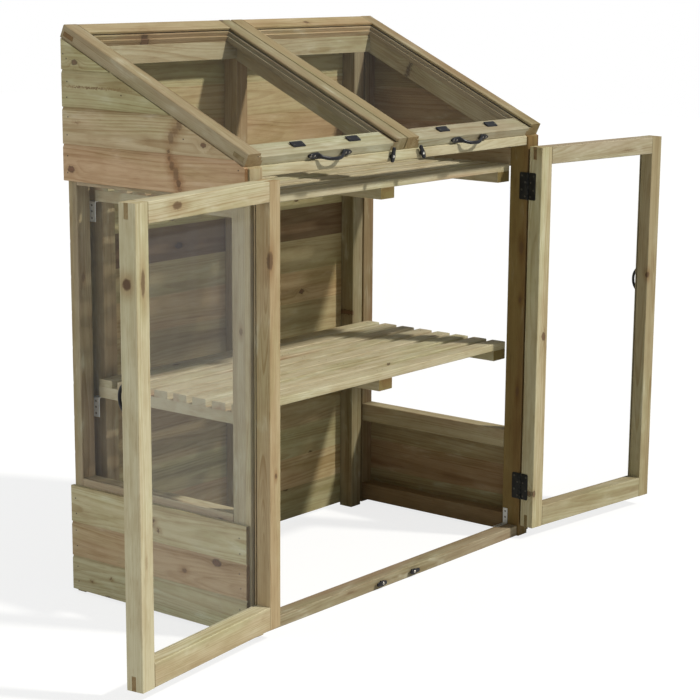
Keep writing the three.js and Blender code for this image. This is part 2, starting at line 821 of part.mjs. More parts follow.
// The part's origin is under the middle of its bounding box, on the ground.
house.updateMatrixWorld(true);
const bounds = new THREE.Box3().setFromObject(house, true);
house.position.set(-(bounds.min.x + bounds.max.x) / 2, -(bounds.min.y + bounds.max.y) / 2, -bounds.min.z);

export default house;
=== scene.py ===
# %% [markdown]
# # A wooden mini greenhouse, dressed for the picture
# The CAD model gives every timber, sheet and hinge its true size and place. This lesson gives them
# their finish: treated softwood whose growth rings run through each board, clear sheets, black iron
# and moulded plastic. It then adds the small things that a joiner fixes last: screws, nails, clips
# and brackets. They are drawn in millimetres and built in metres, in the frame of the CAD model.

# %% Load the frame
import json
from types import SimpleNamespace
import bpy
import numpy as np
from mathutils import Matrix, Vector


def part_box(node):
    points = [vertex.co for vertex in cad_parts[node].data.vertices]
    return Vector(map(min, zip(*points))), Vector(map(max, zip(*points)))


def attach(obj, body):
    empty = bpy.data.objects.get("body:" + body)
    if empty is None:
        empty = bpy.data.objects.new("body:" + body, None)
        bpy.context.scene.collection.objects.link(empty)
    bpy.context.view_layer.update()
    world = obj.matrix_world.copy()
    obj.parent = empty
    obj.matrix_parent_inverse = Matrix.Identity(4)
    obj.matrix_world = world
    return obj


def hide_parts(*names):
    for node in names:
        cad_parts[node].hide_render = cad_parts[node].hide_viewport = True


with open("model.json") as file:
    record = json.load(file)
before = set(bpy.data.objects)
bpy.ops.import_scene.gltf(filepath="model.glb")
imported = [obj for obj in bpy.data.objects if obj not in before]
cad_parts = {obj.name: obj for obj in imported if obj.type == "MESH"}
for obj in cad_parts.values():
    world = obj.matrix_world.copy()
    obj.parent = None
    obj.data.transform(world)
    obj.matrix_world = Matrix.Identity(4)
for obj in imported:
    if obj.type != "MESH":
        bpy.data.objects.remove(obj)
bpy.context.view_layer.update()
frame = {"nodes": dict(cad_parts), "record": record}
nodes = frame["nodes"]
slot_of = {part["node"]: part["material_slot"] for part in frame["record"]["subparts"]}

# %% [markdown]
# The house was drawn from the middle of its front, at the posts' front plane. The two front posts
# show where that point went, so every added piece can be given in the joiner's own measures: across
# from the middle, in from the front, and up from the ground.

# %% Find the house's own origin
X, Y, Z = np.eye(3)
SIDE = {"left": -1, "right": 1}
post_left, post_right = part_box("front_post_left"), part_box("front_post_right")
ORIGIN = np.array([(post_left[0].x + post_right[1].x) / 2, post_left[0].y, 0.0])
SLOPE = np.radians(24.5)
UP_SLOPE = np.array([0, np.cos(SLOPE), np.sin(SLOPE)])
OFF_SLOPE = np.array([0, -np.sin(SLOPE), np.cos(SLOPE)])
LID_AXES = (X, UP_SLOPE, OFF_SLOPE)
LID_FRONT, LID_HEIGHT = 10, 1152  # the lids' lower front arris
PIN_ACROSS, PIN_INWARDS = 553, -2.6  # the doors' hinge pins
DOOR_SWING = {"left": np.radians(-172.9), "right": np.radians(173.7)}
BOARD_COVER, SLAT_PITCH = 91.5, 65
BOARD_FOOT = {"lower": 8, "upper": 1075}  # where the walls of boards at the ends begin
SHELF_TOP = {"middle": 565, "top": 1070}
END_FACE, BACK_FACE = 611.8, 618.8  # how far out the boards' faces lie


def placed(points, centre, axes):
    """Points drawn in millimetres along three axes, in metres: centre + points @ axes / 1000."""
    return np.asarray(centre) + np.asarray(points, float) @ np.asarray(axes) / 1000


def house(across, inwards, up):
    """A point drawn on the house."""
    return placed((across, inwards, up), ORIGIN, (X, Y, Z))


def on_lid(across, along, rise):
    """A point drawn on a lid: across the house, along the slope and square to it."""
    return placed((across, along, rise), LID_CORNER, LID_AXES)


def door_axes(name):
    """A door's pin and its three directions where it stands open.

    A closed door runs from its pin towards the middle (1), inwards (2) and up (3). The open door is
    that one turned about the pin, so its directions are the closed ones turned by the same angle.
    """
    side, angle = SIDE[name], DOOR_SWING[name]
    swing = np.array([[np.cos(angle), -np.sin(angle), 0], [np.sin(angle), np.cos(angle), 0], Z])
    return house(side * PIN_ACROSS, PIN_INWARDS, 0), np.diag([-side, 1, 1]) @ swing.T


def on_door(name, along, inwards, up):
    """A point drawn on a closed door, from its pin, taken to where the door stands."""
    return placed((along, inwards, up), *door_axes(name))


LID_CORNER = house(0, LID_FRONT, LID_HEIGHT)
print("origin of the drawing", ORIGIN.round(6))
print("free edge of the left door", on_door("left", 550, 2.6, 694).round(4))

# %% [markdown]
# The picture was taken from the front left with a long lens. Its place and turn were worked out from
# the timbers' corners. A Blender camera looks along its own -Z, so the axes below are the camera's
# right, up and backwards.

# %% Camera
YAW, PITCH, ROLL = np.radians([52.88, 12.66, 0.79])
FOCAL_PIXELS, CENTRE_X, CENTRE_Y, PICTURE = 2015.0, 409.25, 400.84, 700
STANDS_AT = (-4101, -3123, 1653)
ahead = np.array([np.sin(YAW) * np.cos(PITCH), np.cos(YAW) * np.cos(PITCH), -np.sin(PITCH)])
level_right = np.array([np.cos(YAW), -np.sin(YAW), 0])
level_up = np.cross(level_right, ahead)
right = np.cos(ROLL) * level_right + np.sin(ROLL) * level_up
above = -np.sin(ROLL) * level_right + np.cos(ROLL) * level_up
camera_data = bpy.data.cameras.new("camera")
camera_data.sensor_width = 36
camera_data.lens = FOCAL_PIXELS / PICTURE * 36
camera_data.shift_x = -(CENTRE_X - PICTURE / 2) / PICTURE
camera_data.shift_y = (CENTRE_Y - PICTURE / 2) / PICTURE
camera_data.clip_end = 60
camera = bpy.data.objects.new("camera", camera_data)
bpy.context.scene.collection.objects.link(camera)
stand = np.eye(4)
stand[:3] = np.column_stack([right, above, -ahead, house(*STANDS_AT)])
camera.matrix_world = Matrix(stand.tolist())
bpy.context.scene.camera = camera
bpy.context.scene.view_settings.view_transform = "Standard"
print("lens mm", round(camera_data.lens, 2), "camera at", stand[:3, 3].round(3))

# %% [markdown]
# Materials are formulas here, so two small classes keep them readable. A value is an output of a node,
# and sums with it add nodes. A net is a tree of nodes, and its methods add the other kinds. A node
# group wraps a formula with named inputs and outputs, so that many materials can use it, each with its
# own values.

# %% Helpers for node formulas
class Value:
    """An output of a node that can be used in sums: each + - * / adds a node to its net."""

    def __init__(self, net, socket):
        self.net, self.socket = net, socket
        self.wide = socket.type in ("VECTOR", "RGBA")

    def __add__(self, other):
        return self.net.math("ADD", self, other)

    def __sub__(self, other):
        return self.net.math("SUBTRACT", self, other)

    def __rsub__(self, other):
        return self.net.math("SUBTRACT", other, self)

    def __mul__(self, other):
        return self.net.math("MULTIPLY", self, other)

    def __truediv__(self, other):
        return self.net.math("DIVIDE", self, other)


class Net:
    """A node tree that is written as formulas: each call adds a node and gives back its output."""

    def __init__(self, tree):
        self.tree = tree
        tree.nodes.clear()

    def wire(self, value, socket):
        """Links a value to an input, or sets the input; a colour of three numbers is made solid."""
        if isinstance(value, Value):
            self.tree.links.new(value.socket, socket)
        elif np.ndim(value):
            socket.default_value = (*value, 1) if socket.type == "RGBA" and len(value) == 3 else tuple(value)
        else:
            socket.default_value = value

    def add(self, kind, inputs=(), **settings):
        """A node of that kind, with its settings, and its inputs by name or number."""
        node = self.tree.nodes.new(kind)
        for name, value in settings.items():
            setattr(node, name, value)
        for name, value in dict(inputs).items():
            self.wire(value, node.inputs[name])
        return node

    def value(self, output, kind, inputs=(), **settings):
        """One output of a new node."""
        return Value(self, self.add(kind, inputs, **settings).outputs[output])

    def math(self, operation, *terms):
        """The operation on numbers, or on vectors where a term is a vector."""
        wide = any(np.ndim(term) or getattr(term, "wide", False) for term in terms)
        output = "Value" if operation in ("DOT_PRODUCT", "LENGTH") else 0
        kind = "ShaderNodeVectorMath" if wide else "ShaderNodeMath"
        return self.value(output, kind, enumerate(terms), operation=operation)

    def parts(self, vector):
        """The three numbers of a vector."""
        return [Value(self, output) for output in self.add("ShaderNodeSeparateXYZ", {0: vector}).outputs]

    def joined(self, x, y, z=0.0):
        """A vector of three numbers."""
        return self.value(0, "ShaderNodeCombineXYZ", {0: x, 1: y, 2: z})

    def length(self, x, y):
        """sqrt(x^2 + y^2)."""
        return self.math("LENGTH", self.joined(x, y))

    def step(self, value, low, high):
        """0 below low, 1 above high and a smooth rise between: the smoothstep formula."""
        limits = {"Value": value, "From Min": low, "From Max": high}
        return self.value("Result", "ShaderNodeMapRange", limits, interpolation_type="SMOOTHSTEP")

    def noise(self, vector, scale=1.0, detail=2.0, roughness=0.5, output="Fac"):
        """Smooth noise from 0 to 1; its output Color holds three of them."""
        inputs = {"Vector": vector, "Scale": scale, "Detail": detail, "Roughness": roughness}
        return self.value(output, "ShaderNodeTexNoise", inputs, noise_dimensions="3D")

    def chance(self, value):
        """A number from 0 to 1 that is fixed for each value, as if drawn by lot."""
        return self.value("Value", "ShaderNodeTexWhiteNoise", {"W": value}, noise_dimensions="1D")

    def steps(self, number, colours):
        """The colour with that number in the list: a colour ramp of flat steps."""
        node = self.add("ShaderNodeValToRGB", {"Fac": (number + 0.5) / len(colours)})
        ramp = node.color_ramp
        ramp.interpolation = "CONSTANT"
        for index, colour in enumerate(colours):
            stop = ramp.elements[0] if index == 0 else ramp.elements.new(index / len(colours))
            stop.color = (*colour, 1)
        ramp.elements.remove(ramp.elements[-1])
        return Value(self, node.outputs["Color"])

    def blend(self, share, a, b, how="MIX"):
        """a and b mixed by share, as colours."""
        return self.value(2, "ShaderNodeMix", {0: share, 6: a, 7: b}, data_type="RGBA", blend_type=how)

    def use(self, title, **inputs):
        """The outputs of a node group whose inputs are wired: ring_width stands for Ring width."""
        node = self.add("ShaderNodeGroup", node_tree=bpy.data.node_groups[title])
        for label, value in inputs.items():
            self.wire(value, node.inputs[spoken(label)])
        return named(self, node)

    def surface(self, colour, roughness, shine, bump=(), **more):
        """The material's shader, wired to its output; bump is a strength, a depth and a height."""
        inputs = {"Base Color": colour, "Roughness": roughness, "Specular IOR Level": shine, **more}
        if bump:
            inputs["Normal"] = self.value(0, "ShaderNodeBump", zip(("Strength", "Distance", "Height"), bump))
        self.add("ShaderNodeOutputMaterial", {0: self.value(0, "ShaderNodeBsdfPrincipled", inputs)})


print("values and nets ready")


# %% Helpers for groups and materials
def spoken(label):
    """The name of a socket from a label: ring_width becomes Ring width."""
    return label.replace("_", " ").capitalize()


def named(net, node):
    """A node's outputs as values with names: Ring width becomes ring_width."""
    outputs = [output for output in node.outputs if output.name]
    return SimpleNamespace(**{output.name.lower().replace(" ", "_"): Value(net, output) for output in outputs})


def group(title, **inputs):
    """A new node group with those inputs: its net, its inputs, and a function that takes its outputs."""
    tree = bpy.data.node_groups.new(title, "ShaderNodeTree")
    net = Net(tree)

    def socket(label, way, kind):
        return tree.interface.new_socket(name=spoken(label), in_out=way, socket_type="NodeSocket" + kind)

    for label, value in inputs.items():
        kind = {1: "Float", 3: "Vector", 4: "Color"}[np.size(value)]
        socket(label, "INPUT", kind).default_value = value
    given = named(net, net.add("NodeGroupInput"))

    def give(**outputs):
        for label, value in outputs.items():
            socket(label, "OUTPUT", {"VALUE": "Float", "VECTOR": "Vector", "RGBA": "Color"}[value.socket.type])
        net.add("NodeGroupOutput", {spoken(label): value for label, value in outputs.items()})
        print("group", title, "gives", *outputs)

    return net, given, give


def new_material(name):
    """An empty material and the net of its node tree."""
    material = bpy.data.materials.new(name)
    material.use_nodes = True
    return material, Net(material.node_tree)


POINT = (0, 0, 0)
print("groups and materials ready")

# %% [markdown]
# Daylight comes from an even sky and one soft sun, high over the front and a little to the right. A
# low, wide fill from behind the left end brightens that end's wall and leaves the inside in shade. The
# camera sees pure white behind the house, also through its sheets, while the light on the object stays
# at the sky's own level.

# %% Sky and sun
world = bpy.data.worlds.new("sky")
world.use_nodes = True
bpy.context.scene.world = world
net = Net(world.node_tree)
rays = named(net, net.add("ShaderNodeLightPath"))
soft, white = (net.value(0, "ShaderNodeBackground", {"Color": colour, "Strength": strength})
               for colour, strength in (((0.93, 0.97, 1.0), 0.33), ((1, 1, 1), 1.0)))
seen = net.math("MAXIMUM", rays.is_camera_ray, rays.is_transmission_ray)
net.add("ShaderNodeOutputWorld", {0: net.value(0, "ShaderNodeMixShader", {0: seen, 1: soft, 2: white})})

LAMPS = {  # strength, width in degrees, colour, the way towards it
    "sun": (3.05, 4, (1.0, 0.97, 0.92), (0.32, -0.62, 0.72)),
    "fill": (1.0, 20, (0.94, 0.97, 1.0), (-0.78, 0.57, 0.22)),
}
for name, (strength, width, colour, towards) in LAMPS.items():
    lamp_data = bpy.data.lights.new(name, "SUN")
    lamp_data.energy, lamp_data.angle, lamp_data.color = strength, np.radians(width), colour
    lamp = bpy.data.objects.new(name, lamp_data)
    bpy.context.scene.collection.objects.link(lamp)
    lamp.rotation_euler = Vector(towards).to_track_quat("Z", "Y").to_euler()
print("lamps", list(LAMPS))

# %% [markdown]
# Timber has a direction. Each member's grain runs along its length, so a point of the object is first
# turned into plank coordinates: along the grain, across the face and through the thickness. A wall of
# boards repeats every 91.5 mm, and each board there has a number of its own, so that it can have its
# own rings and its own colour.

# %% Group: plank coordinates
net, given, give = group("plank coordinates", place=POINT, centre=POINT, along=(0, 0, 1),
                         across=(1, 0, 0), board_cover=0.0)
from_centre = given.place - given.centre
along, across = (net.math("DOT_PRODUCT", from_centre, way) for way in (given.along, given.across))
through = net.math("DOT_PRODUCT", from_centre, net.math("CROSS_PRODUCT", given.along, given.across))
# With a cover, the board's number is the whole part of across / cover, and across starts again.
has_boards = net.math("GREATER_THAN", given.board_cover, 0.001)
cover = net.math("MAXIMUM", given.board_cover, 0.001)
number = net.math("FLOOR", across / cover) * has_boards
give(plank=net.joined(along, across - (number + 0.5) * cover * has_boards, through), board=number)

# %% [markdown]
# A tree grows in rings round its pith, and a plank is a slice of that tree. So the rings are cylinders
# round a pith that runs along the plank and wanders a little: on a flat face they open into the long
# arches of sawn softwood, on an edge they are straight lines, and on an end they are arcs, all from
# one formula. Knots are branches. Voronoi cells place a few, and the rings flow round them.

# %% Group: growth rings
CELL_LENGTH, CELL_WIDTH = 0.40, 0.09  # of the cells that may hold a knot
net, given, give = group("growth rings", plank=POINT, seed=0.0, ring_width=0.004, pith_distance=0.05,
                         knots=0.4)
_, across, through = net.parts(given.plank)
shifted = given.plank + net.joined(given.seed * 3.713, 0.0)
s_along = net.parts(shifted)[0]
row = given.seed * 1.37
# The pith wanders slowly along the plank.
wander_across, wander_through, _ = net.parts(net.noise(net.joined(s_along, row), 1.1, 1.0, output="Color"))
pith_across = across + ((wander_across - 0.5) * 0.075 + net.math("SINE", given.seed * 12.9) * 0.022)
pith_through = through + given.pith_distance + (wander_through - 0.5) * 0.055
# A knot is the nearest cell point, and most of them are switched off.
knot_row = across + row
cell_place = net.joined(s_along / CELL_LENGTH, knot_row / CELL_WIDTH)
cells = named(net, net.add("ShaderNodeTexVoronoi", {"Vector": cell_place, "Scale": 1.0},
                           voronoi_dimensions="2D", feature="F1"))
cell_along, cell_across, _ = net.parts(cells.position)
draw, girth, _ = net.parts(cells.color)
off_along, off_across = s_along - cell_along * CELL_LENGTH, knot_row - cell_across * CELL_WIDTH
gnarled = net.noise(shifted * (170.0, 170.0, 170.0))
knot_radius = girth * 0.0050 + 0.0030
ratio = (net.length(off_along * 0.62, off_across) + (gnarled - 0.5) * 0.008) / knot_radius
there = net.math("LESS_THAN", draw, given.knots)
knot = there * (1 - net.step(ratio, 0.80, 1.05))
rim = there * (net.step(ratio, 0.7, 1.0) * (1 - net.step(ratio, 1.0, 1.45)))
near = there * net.math("EXPONENT", ratio * ratio * -0.16)
spread = net.length(off_along / (knot_radius * 5.0), off_across / (knot_radius * 1.7))
halo = there * net.math("EXPONENT", spread * -1.6)
# Radius from the pith, pushed outwards beside a knot, and the ring that it falls in.
radius = net.length(pith_across, pith_through)
bulged = near * 0.011 + radius
ripple = net.noise(shifted * (2.6, 22.0, 22.0))
# Good and poor years: the rings' widths and strengths differ from ring to ring.
years = net.noise(net.joined(bulged * 70.0, given.seed), 1.0, 1.0)
phase = years * 2.4 + (bulged / given.ring_width + ripple * 1.8)
ring = net.math("FRACT", phase)
rise = net.step(ring, 0.25, 0.86) * (1 - net.step(ring, 0.88, 1.0))
strength = net.chance(net.math("FLOOR", phase) + given.seed) * 0.75 + 0.25
give(latewood=rise * strength, radius=radius, knot=knot, knot_rim=rim, knot_halo=halo)

# %% [markdown]
# Treated softwood isn't one colour. The sapwood took the green salt and has gone pale and greenish,
# the heartwood near the pith stays pink brown, the latewood lines are darker, and fine fibres and long
# stains run with the grain. The finish is planed but dry, so it is rough, and the latewood stands a
# little proud.

# %% Group: treated softwood
net, given, give = group("treated softwood", plank=POINT, seed=0.0, sapwood=(0.5, 0.45, 0.3, 1),
                         heartwood=(0.45, 0.32, 0.2, 1), heart_radius=0.05, ring_width=0.004, pith_distance=0.05,
                         knots=0.4, contrast=0.45, stain=0.3)
rings = net.use("growth rings", plank=given.plank, seed=given.seed, ring_width=given.ring_width,
                pith_distance=given.pith_distance, knots=given.knots)
place = given.plank + net.joined(given.seed * 5.17, given.seed)
fibre = net.noise(place * (14.0, 520.0, 520.0), 1.0, 2.0, 0.6)
fleck = net.noise(place * (26.0, 260.0, 260.0), 1.0, 1.0, 0.5)
streak = net.noise(place * (1.2, 46.0, 46.0), 1.0, 3.0, 0.6)
cloud = net.noise(place * (2.4, 11.0, 11.0), 1.0, 3.0, 0.55)
mottle = net.noise(place * (9.0, 30.0, 30.0), 1.0, 3.0, 0.6)
heart = 1 - net.step((rings.radius + (cloud - 0.5) * 0.05) / given.heart_radius, 0.70, 1.30)
colour = net.blend(heart, given.sapwood, given.heartwood)
# Each effect is laid over the ground by its own share: most multiply it by a tint, a few cover it.
for share, tint, how in (
    (rings.latewood * given.contrast * (cloud * 1.2 + 0.35), (0.62, 0.50, 0.34), "MULTIPLY"),
    (net.step(streak, 0.46, 0.74) * given.stain, (0.56, 0.45, 0.30), "MULTIPLY"),
    (net.step(cloud, 0.44, 0.70) * 0.45, (0.82, 0.92, 0.74), "MULTIPLY"),
    (net.step(mottle, 0.44, 0.70) * 0.40, (0.72, 0.62, 0.50), "MULTIPLY"),
    # Where the salt dried on the face, the wood is paler than its ground.
    (net.step(1 - mottle, 0.52, 0.74) * net.step(cloud, 0.40, 0.62) * 0.30, (0.78, 0.78, 0.62), "MIX"),
    (net.step(fibre, 0.35, 0.75) * 0.30, (0.74, 0.70, 0.62), "MULTIPLY"),
    (net.step(fleck, 0.60, 0.76) * 0.32, (0.62, 0.52, 0.40), "MULTIPLY"),
    (rings.knot_halo * 0.75, (0.50, 0.36, 0.22), "MULTIPLY"),
    (rings.knot * 0.85, (0.15, 0.080, 0.040), "MIX"),
    (rings.knot_rim * 0.75, (0.07, 0.042, 0.022), "MIX"),
):
    colour = net.blend(share, colour, tint, how)
give(colour=colour, roughness=fibre * 0.22 + 0.58 - rings.knot * 0.12,
     height=rings.latewood * 0.5 + fibre * 0.5 - rings.knot_rim * 0.6)

# %% [markdown]
# Some knots are too plain to be left to chance. A knot mark is an oval of dark wood with a ragged
# edge, in a longer halo of brown where the grain bends round it.

# %% Group: knot mark
net, given, give = group("knot mark", place=POINT, centre=POINT, along=(0, 0, 1), half_length=0.01,
                         half_width=0.006, raggedness=0.01)
ragged = net.noise(given.place, 150.0, 4.0, 0.75, output="Color")
offset = given.place - given.centre + (ragged - (0.5, 0.5, 0.5)) * given.raggedness
along = net.math("DOT_PRODUCT", offset, given.along)
across = net.math("SQRT", net.math("MAXIMUM", net.math("DOT_PRODUCT", offset, offset) - along * along, 0.0))
core = net.length(along / given.half_length, across / given.half_width)
halo = net.length(along / (given.half_length * 2.6), across / (given.half_width * 1.9))
give(core=1 - net.step(core, 0.55, 0.95), halo=1 - net.step(halo, 0.1, 1.2))

# %% [markdown]
# Each member gets a material of its own from those groups: the same finish with its own direction,
# centre and seed, so that no two planks share their grain. The numbers for colour are the wood's own,
# except for some members' tones, the right end's boards, one back board and the boards' ends, which
# also hold painted shade.

# %% Timber materials
WOODS = {  # sapwood and heartwood
    "frame_timber": ((0.46, 0.40, 0.25), (0.41, 0.32, 0.195)),
    "door_timber": ((0.57, 0.52, 0.345), (0.52, 0.44, 0.28)),
    "lid_timber": ((0.50, 0.44, 0.28), (0.44, 0.35, 0.21)),
    "board_timber": ((0.56, 0.485, 0.30), (0.52, 0.39, 0.24)),
}
WOOD_SHINE, WOOD_BUMP = 0.28, (0.35, 0.0006)
# The boards' ends are darker than the plain ends: partly darker end grain, partly painted shade, so that their
# sunlit front edges stay dark.
PLAIN_ENDS, RAIL_ENDS, SHADED_BOARD_ENDS = (0.86, 0.79, 0.70), (0.60, 0.50, 0.38), (0.50, 0.43, 0.35)


def dress(node, material):
    """Puts a material on a CAD node; its shape and place stay as they are."""
    for slot in nodes[node].material_slots:
        slot.material = material


def softwood(net, place, centre, along, across, cover, seed, **finish):
    """The board's number and the wood at a place, for one direction of the grain."""
    plank = net.use("plank coordinates", place=place, centre=centre, along=along, across=across, board_cover=cover)
    return plank.board, net.use("treated softwood", plank=plank.plank, seed=plank.board * 1.618 + seed, **finish)


def facing(net, where, way):
    """1 on faces that look along a direction, or against it, and 0 on the others."""
    return net.step(net.math("ABSOLUTE", net.math("DOT_PRODUCT", where.normal, way)), 0.80, 0.95)


def timber(node, centre, along, across, seed, cover=0.0, tone=(1, 1, 1), tints=(), marks=(),
           ends=PLAIN_ENDS, **finish):
    """Dresses a member in wood of its own.

    tints has a colour for each board of a wall, which multiplies that board's wood. marks are single
    knots that are set one by one. Ends, where the face looks along the grain, are darker and rougher.
    """
    material, net = new_material(node + "_wood")
    where = named(net, net.add("ShaderNodeTexCoord"))
    sapwood, heartwood = np.array(tone) * WOODS[slot_of[node]]
    board, wood = softwood(net, where.object, centre, along, across, cover, seed, sapwood=sapwood,
                           heartwood=heartwood, **finish)
    colour = wood.colour
    if len(tints):
        colour = net.blend(1.0, colour, net.steps(board, tints), "MULTIPLY")
    for spot, length, width, dark in marks:
        mark = net.use("knot mark", place=where.object, centre=spot, along=along, half_length=length / 2000,
                       half_width=width / 2000, raggedness=0.020 if cover else 0.008)
        colour = net.blend(mark.halo * (0.75 * dark), colour, (0.60, 0.42, 0.26), "MULTIPLY")
        colour = net.blend(mark.core * (dark * dark), colour, (0.115, 0.065, 0.032))
    end = facing(net, where, along)
    net.surface(net.blend(end, colour, ends, "MULTIPLY"), end * 0.10 + wood.roughness, WOOD_SHINE,
                (*WOOD_BUMP, wood.height))
    dress(node, material)


print("woods", *WOODS)

# %% [markdown]
# The members are sorted by the way their grain runs. The posts, stiles and battens stand, so theirs
# runs up. The rails lie, the rafters and lid stiles follow the roof's slope, and the doors' rails
# follow the doors, which stand open at their own angles.

# %% Dress the single members
runs = {f"back_batten_{name}": (Z, X) for name in ("left", "centre", "right")}
runs.update({"back_top_rail": (X, Z), "front_top_rail": (X, Z), "front_bottom_rail": (X, Z),
             "centre_rafter": (UP_SLOPE, X)})
for name in SIDE:
    for members, grain, face in (
        (("front_post", "back_stile", "door_hinge_stile", "door_free_stile"), Z, X),
        (("side_header", "side_sill", "side_base_rail"), Y, Z),
        (("side_rafter", "lid_outer_stile", "lid_inner_stile"), UP_SLOPE, X),
        (("lid_top_rail", "lid_bottom_rail"), X, UP_SLOPE),
        (("door_top_rail", "door_bottom_rail"), door_axes(name)[1][0], Z),
    ):
        runs.update({f"{member}_{name}": (grain, face) for member in members})
# How pale a member is against its fellows. This is partly the wood's own tone: the lids' stiles have weathered
# brown, the doors' are fresh.
# It is partly painted shade and light: members that stand in shade inside, such as the right post, the right back
# stile and the battens, are darkened.
# The lids' stiles, whose tops face the sun, are darkened as well.
TONES_AND_SHADE = {
    "lid_outer_stile_left": (0.72, 0.66, 0.62), "lid_inner_stile_left": (0.66, 0.64, 0.60),
    "lid_inner_stile_right": (0.76, 0.76, 0.68), "lid_outer_stile_right": (0.70, 0.64, 0.58),
    "lid_top_rail_left": (0.86, 0.80, 0.74), "lid_top_rail_right": (0.92, 0.80, 0.72),
    "lid_bottom_rail_left": (0.92, 0.98, 1.06), "lid_bottom_rail_right": (0.85, 0.90, 0.98),
    "door_free_stile_right": (0.78, 0.77, 0.70), "door_top_rail_right": (0.84, 0.80, 0.84),
    "door_bottom_rail_right": (0.78, 0.77, 0.73), "front_bottom_rail": (0.78, 0.76, 0.80),
    "front_post_right": (0.56, 0.46, 0.26), "back_stile_left": (0.88, 0.84, 0.80),
    "back_batten_right": (0.66, 0.64, 0.62), "back_batten_centre": (0.92, 0.84, 0.76),
    "door_hinge_stile_right": (1.02, 1.04, 1.02), "door_hinge_stile_left": (0.88, 0.80, 0.72),
    "back_stile_right": (0.60, 0.52, 0.44), "side_base_rail_right": (0.70, 0.62, 0.52),
}
MARKS = {  # the place as drawn on the door, lid or house, then length, width and darkness
    "door_free_stile_left": [((550, 22, 948), 33, 30, 1.0), ((527, 47, 950), 80, 17, 0.85),
                             ((530, 47, 330), 40, 8, 0.5)],
    "door_hinge_stile_left": [((43, 47, 937), 58, 24, 0.90), ((22, 47, 415), 18, 12, 0.9)],
    "door_top_rail_left": [((402, 47, 1104), 44, 22, 0.90)],
    "door_free_stile_right": [((507, 47, 715), 24, 19, 0.95)],
    "door_top_rail_right": [((391, 47, 1092), 70, 9, 0.45)],
    "door_bottom_rail_right": [((480, 47, 60), 46, 12, 0.35)],
    "front_post_right": [((555, 14, 838), 52, 18, 0.8), ((555, 14, 690), 22, 11, 0.85),
                         ((555, 16, 424), 40, 14, 0.8)],
    "front_post_left": [((-600, 30, 760), 24, 14, 0.7)],
    "lid_outer_stile_left": [((-560, 300, 33), 40, 14, 0.5)],
    "back_stile_left": [((-584, 578, 830), 30, 14, 0.7)],
    "front_bottom_rail": [((-210, 5, 20), 34, 10, 0.6), ((120, 25, 30), 30, 12, 0.4)],
}


def middle_of(node):
    """The middle of a CAD node's box."""
    low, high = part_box(node)
    return (np.array(low) + np.array(high)) / 2


def drawn_on(node, spot):
    """A spot drawn on the door, lid or house that the node is part of."""
    if node.startswith("door"):
        return on_door(node.split("_")[-1], *spot)
    return on_lid(*spot) if node.startswith("lid") else house(*spot)


luck = np.random.default_rng(11)
for index, node in enumerate(sorted(runs)):
    pith = luck.uniform(0.012, 0.07)
    # A listed tone holds painted shade as well as the wood's own tone; the other members differ at random.
    tone = TONES_AND_SHADE.get(node, luck.uniform(0.94, 1.06))
    timber(node, middle_of(node), *runs[node], seed=index * 0.731 + 0.4, pith_distance=pith, knots=0.22,
           heart_radius=luck.uniform(0.02, 0.05), ring_width=luck.uniform(0.0030, 0.0048),
           contrast=luck.uniform(0.45, 0.75), stain=luck.uniform(0.35, 0.7), tone=np.ones(3) * tone,
           marks=[(drawn_on(node, spot), *size) for spot, *size in MARKS.get(node, ())],
           ends=RAIL_ENDS if "rail" in node else PLAIN_ENDS)
print("single members dressed", len(runs))

# %% [markdown]
# The ends and the back are walls of boards, nailed one above the other. One material covers a whole
# wall: the board's number, which comes out of the plank coordinates, shifts the seed, so the rings
# and the share of pink heartwood change from board to board.

# %% Dress the boards
TINTS = {  # from the bottom board upwards
    "lower": ((0.84, 0.87, 0.84), (0.84, 0.72, 0.68), (0.94, 0.96, 0.94)),
    "upper": ((0.98, 0.78, 0.74), (0.94, 0.86, 0.84), (0.80, 0.80, 0.72), (0.88, 0.90, 0.82)),
}
# The right end's boards are darkened: painted shade, because their inner faces stand in shade inside the house.
END_WALL_SHADE = {"left": (1, 1, 1), "right": (0.72, 0.66, 0.60)}
WALL_SEED = {"lower": 2.9, "upper": 7.3}
BOARD_MARKS = {  # on the left end: inwards, up, length, width and darkness
    # A row of branches that crosses two boards, then a crack and a spot of rust.
    "upper": [(212, 1238, 26, 34, 0.72), (226, 1222, 22, 30, 0.55), (240, 1206, 24, 40, 0.70),
              (248, 1172, 13, 12, 0.85), (246, 1156, 13, 16, 0.70), (238, 1138, 22, 30, 0.75),
              (224, 1120, 26, 40, 0.72), (216, 1098, 18, 24, 0.85), (212, 1083, 22, 14, 0.60),
              (316, 1191, 22, 26, 0.25), (520, 1309, 190, 5, 0.9), (560, 1222, 18, 8, 0.6)],
    "lower": [(318, 246, 16, 14, 0.9), (300, 222, 14, 13, 0.9), (322, 234, 26, 16, 0.5),
              (212, 136, 20, 18, 0.8), (540, 40, 12, 10, 0.8), (470, 60, 10, 8, 0.8)],
}
for name, side in SIDE.items():
    for level, bottom in BOARD_FOOT.items():
        node = f"{level}_side_boards_{name}"
        foot = middle_of(node) * (1, 1, 0) + Z * bottom / 1000
        marks = [(house(-END_FACE, inwards, up), *size) for inwards, up, *size in BOARD_MARKS[level]]
        timber(node, foot, Y, Z, seed=WALL_SEED[level] + side, cover=BOARD_COVER / 1000, heart_radius=0.030,
               pith_distance=0.050, ring_width=0.0052, knots=0.18, contrast=0.60, stain=0.6,
               tone=END_WALL_SHADE[name], tints=TINTS[level], ends=SHADED_BOARD_ENDS, marks=marks if name == "left" else ())
luck = np.random.default_rng(3)
greens, pinks = np.array([0.84, 0.88, 0.78]), np.array([0.90, 0.74, 0.66])
back_tints = [(greens + (pinks - greens) * luck.random()) * luck.uniform(0.72, 1.08) for _ in range(16)]
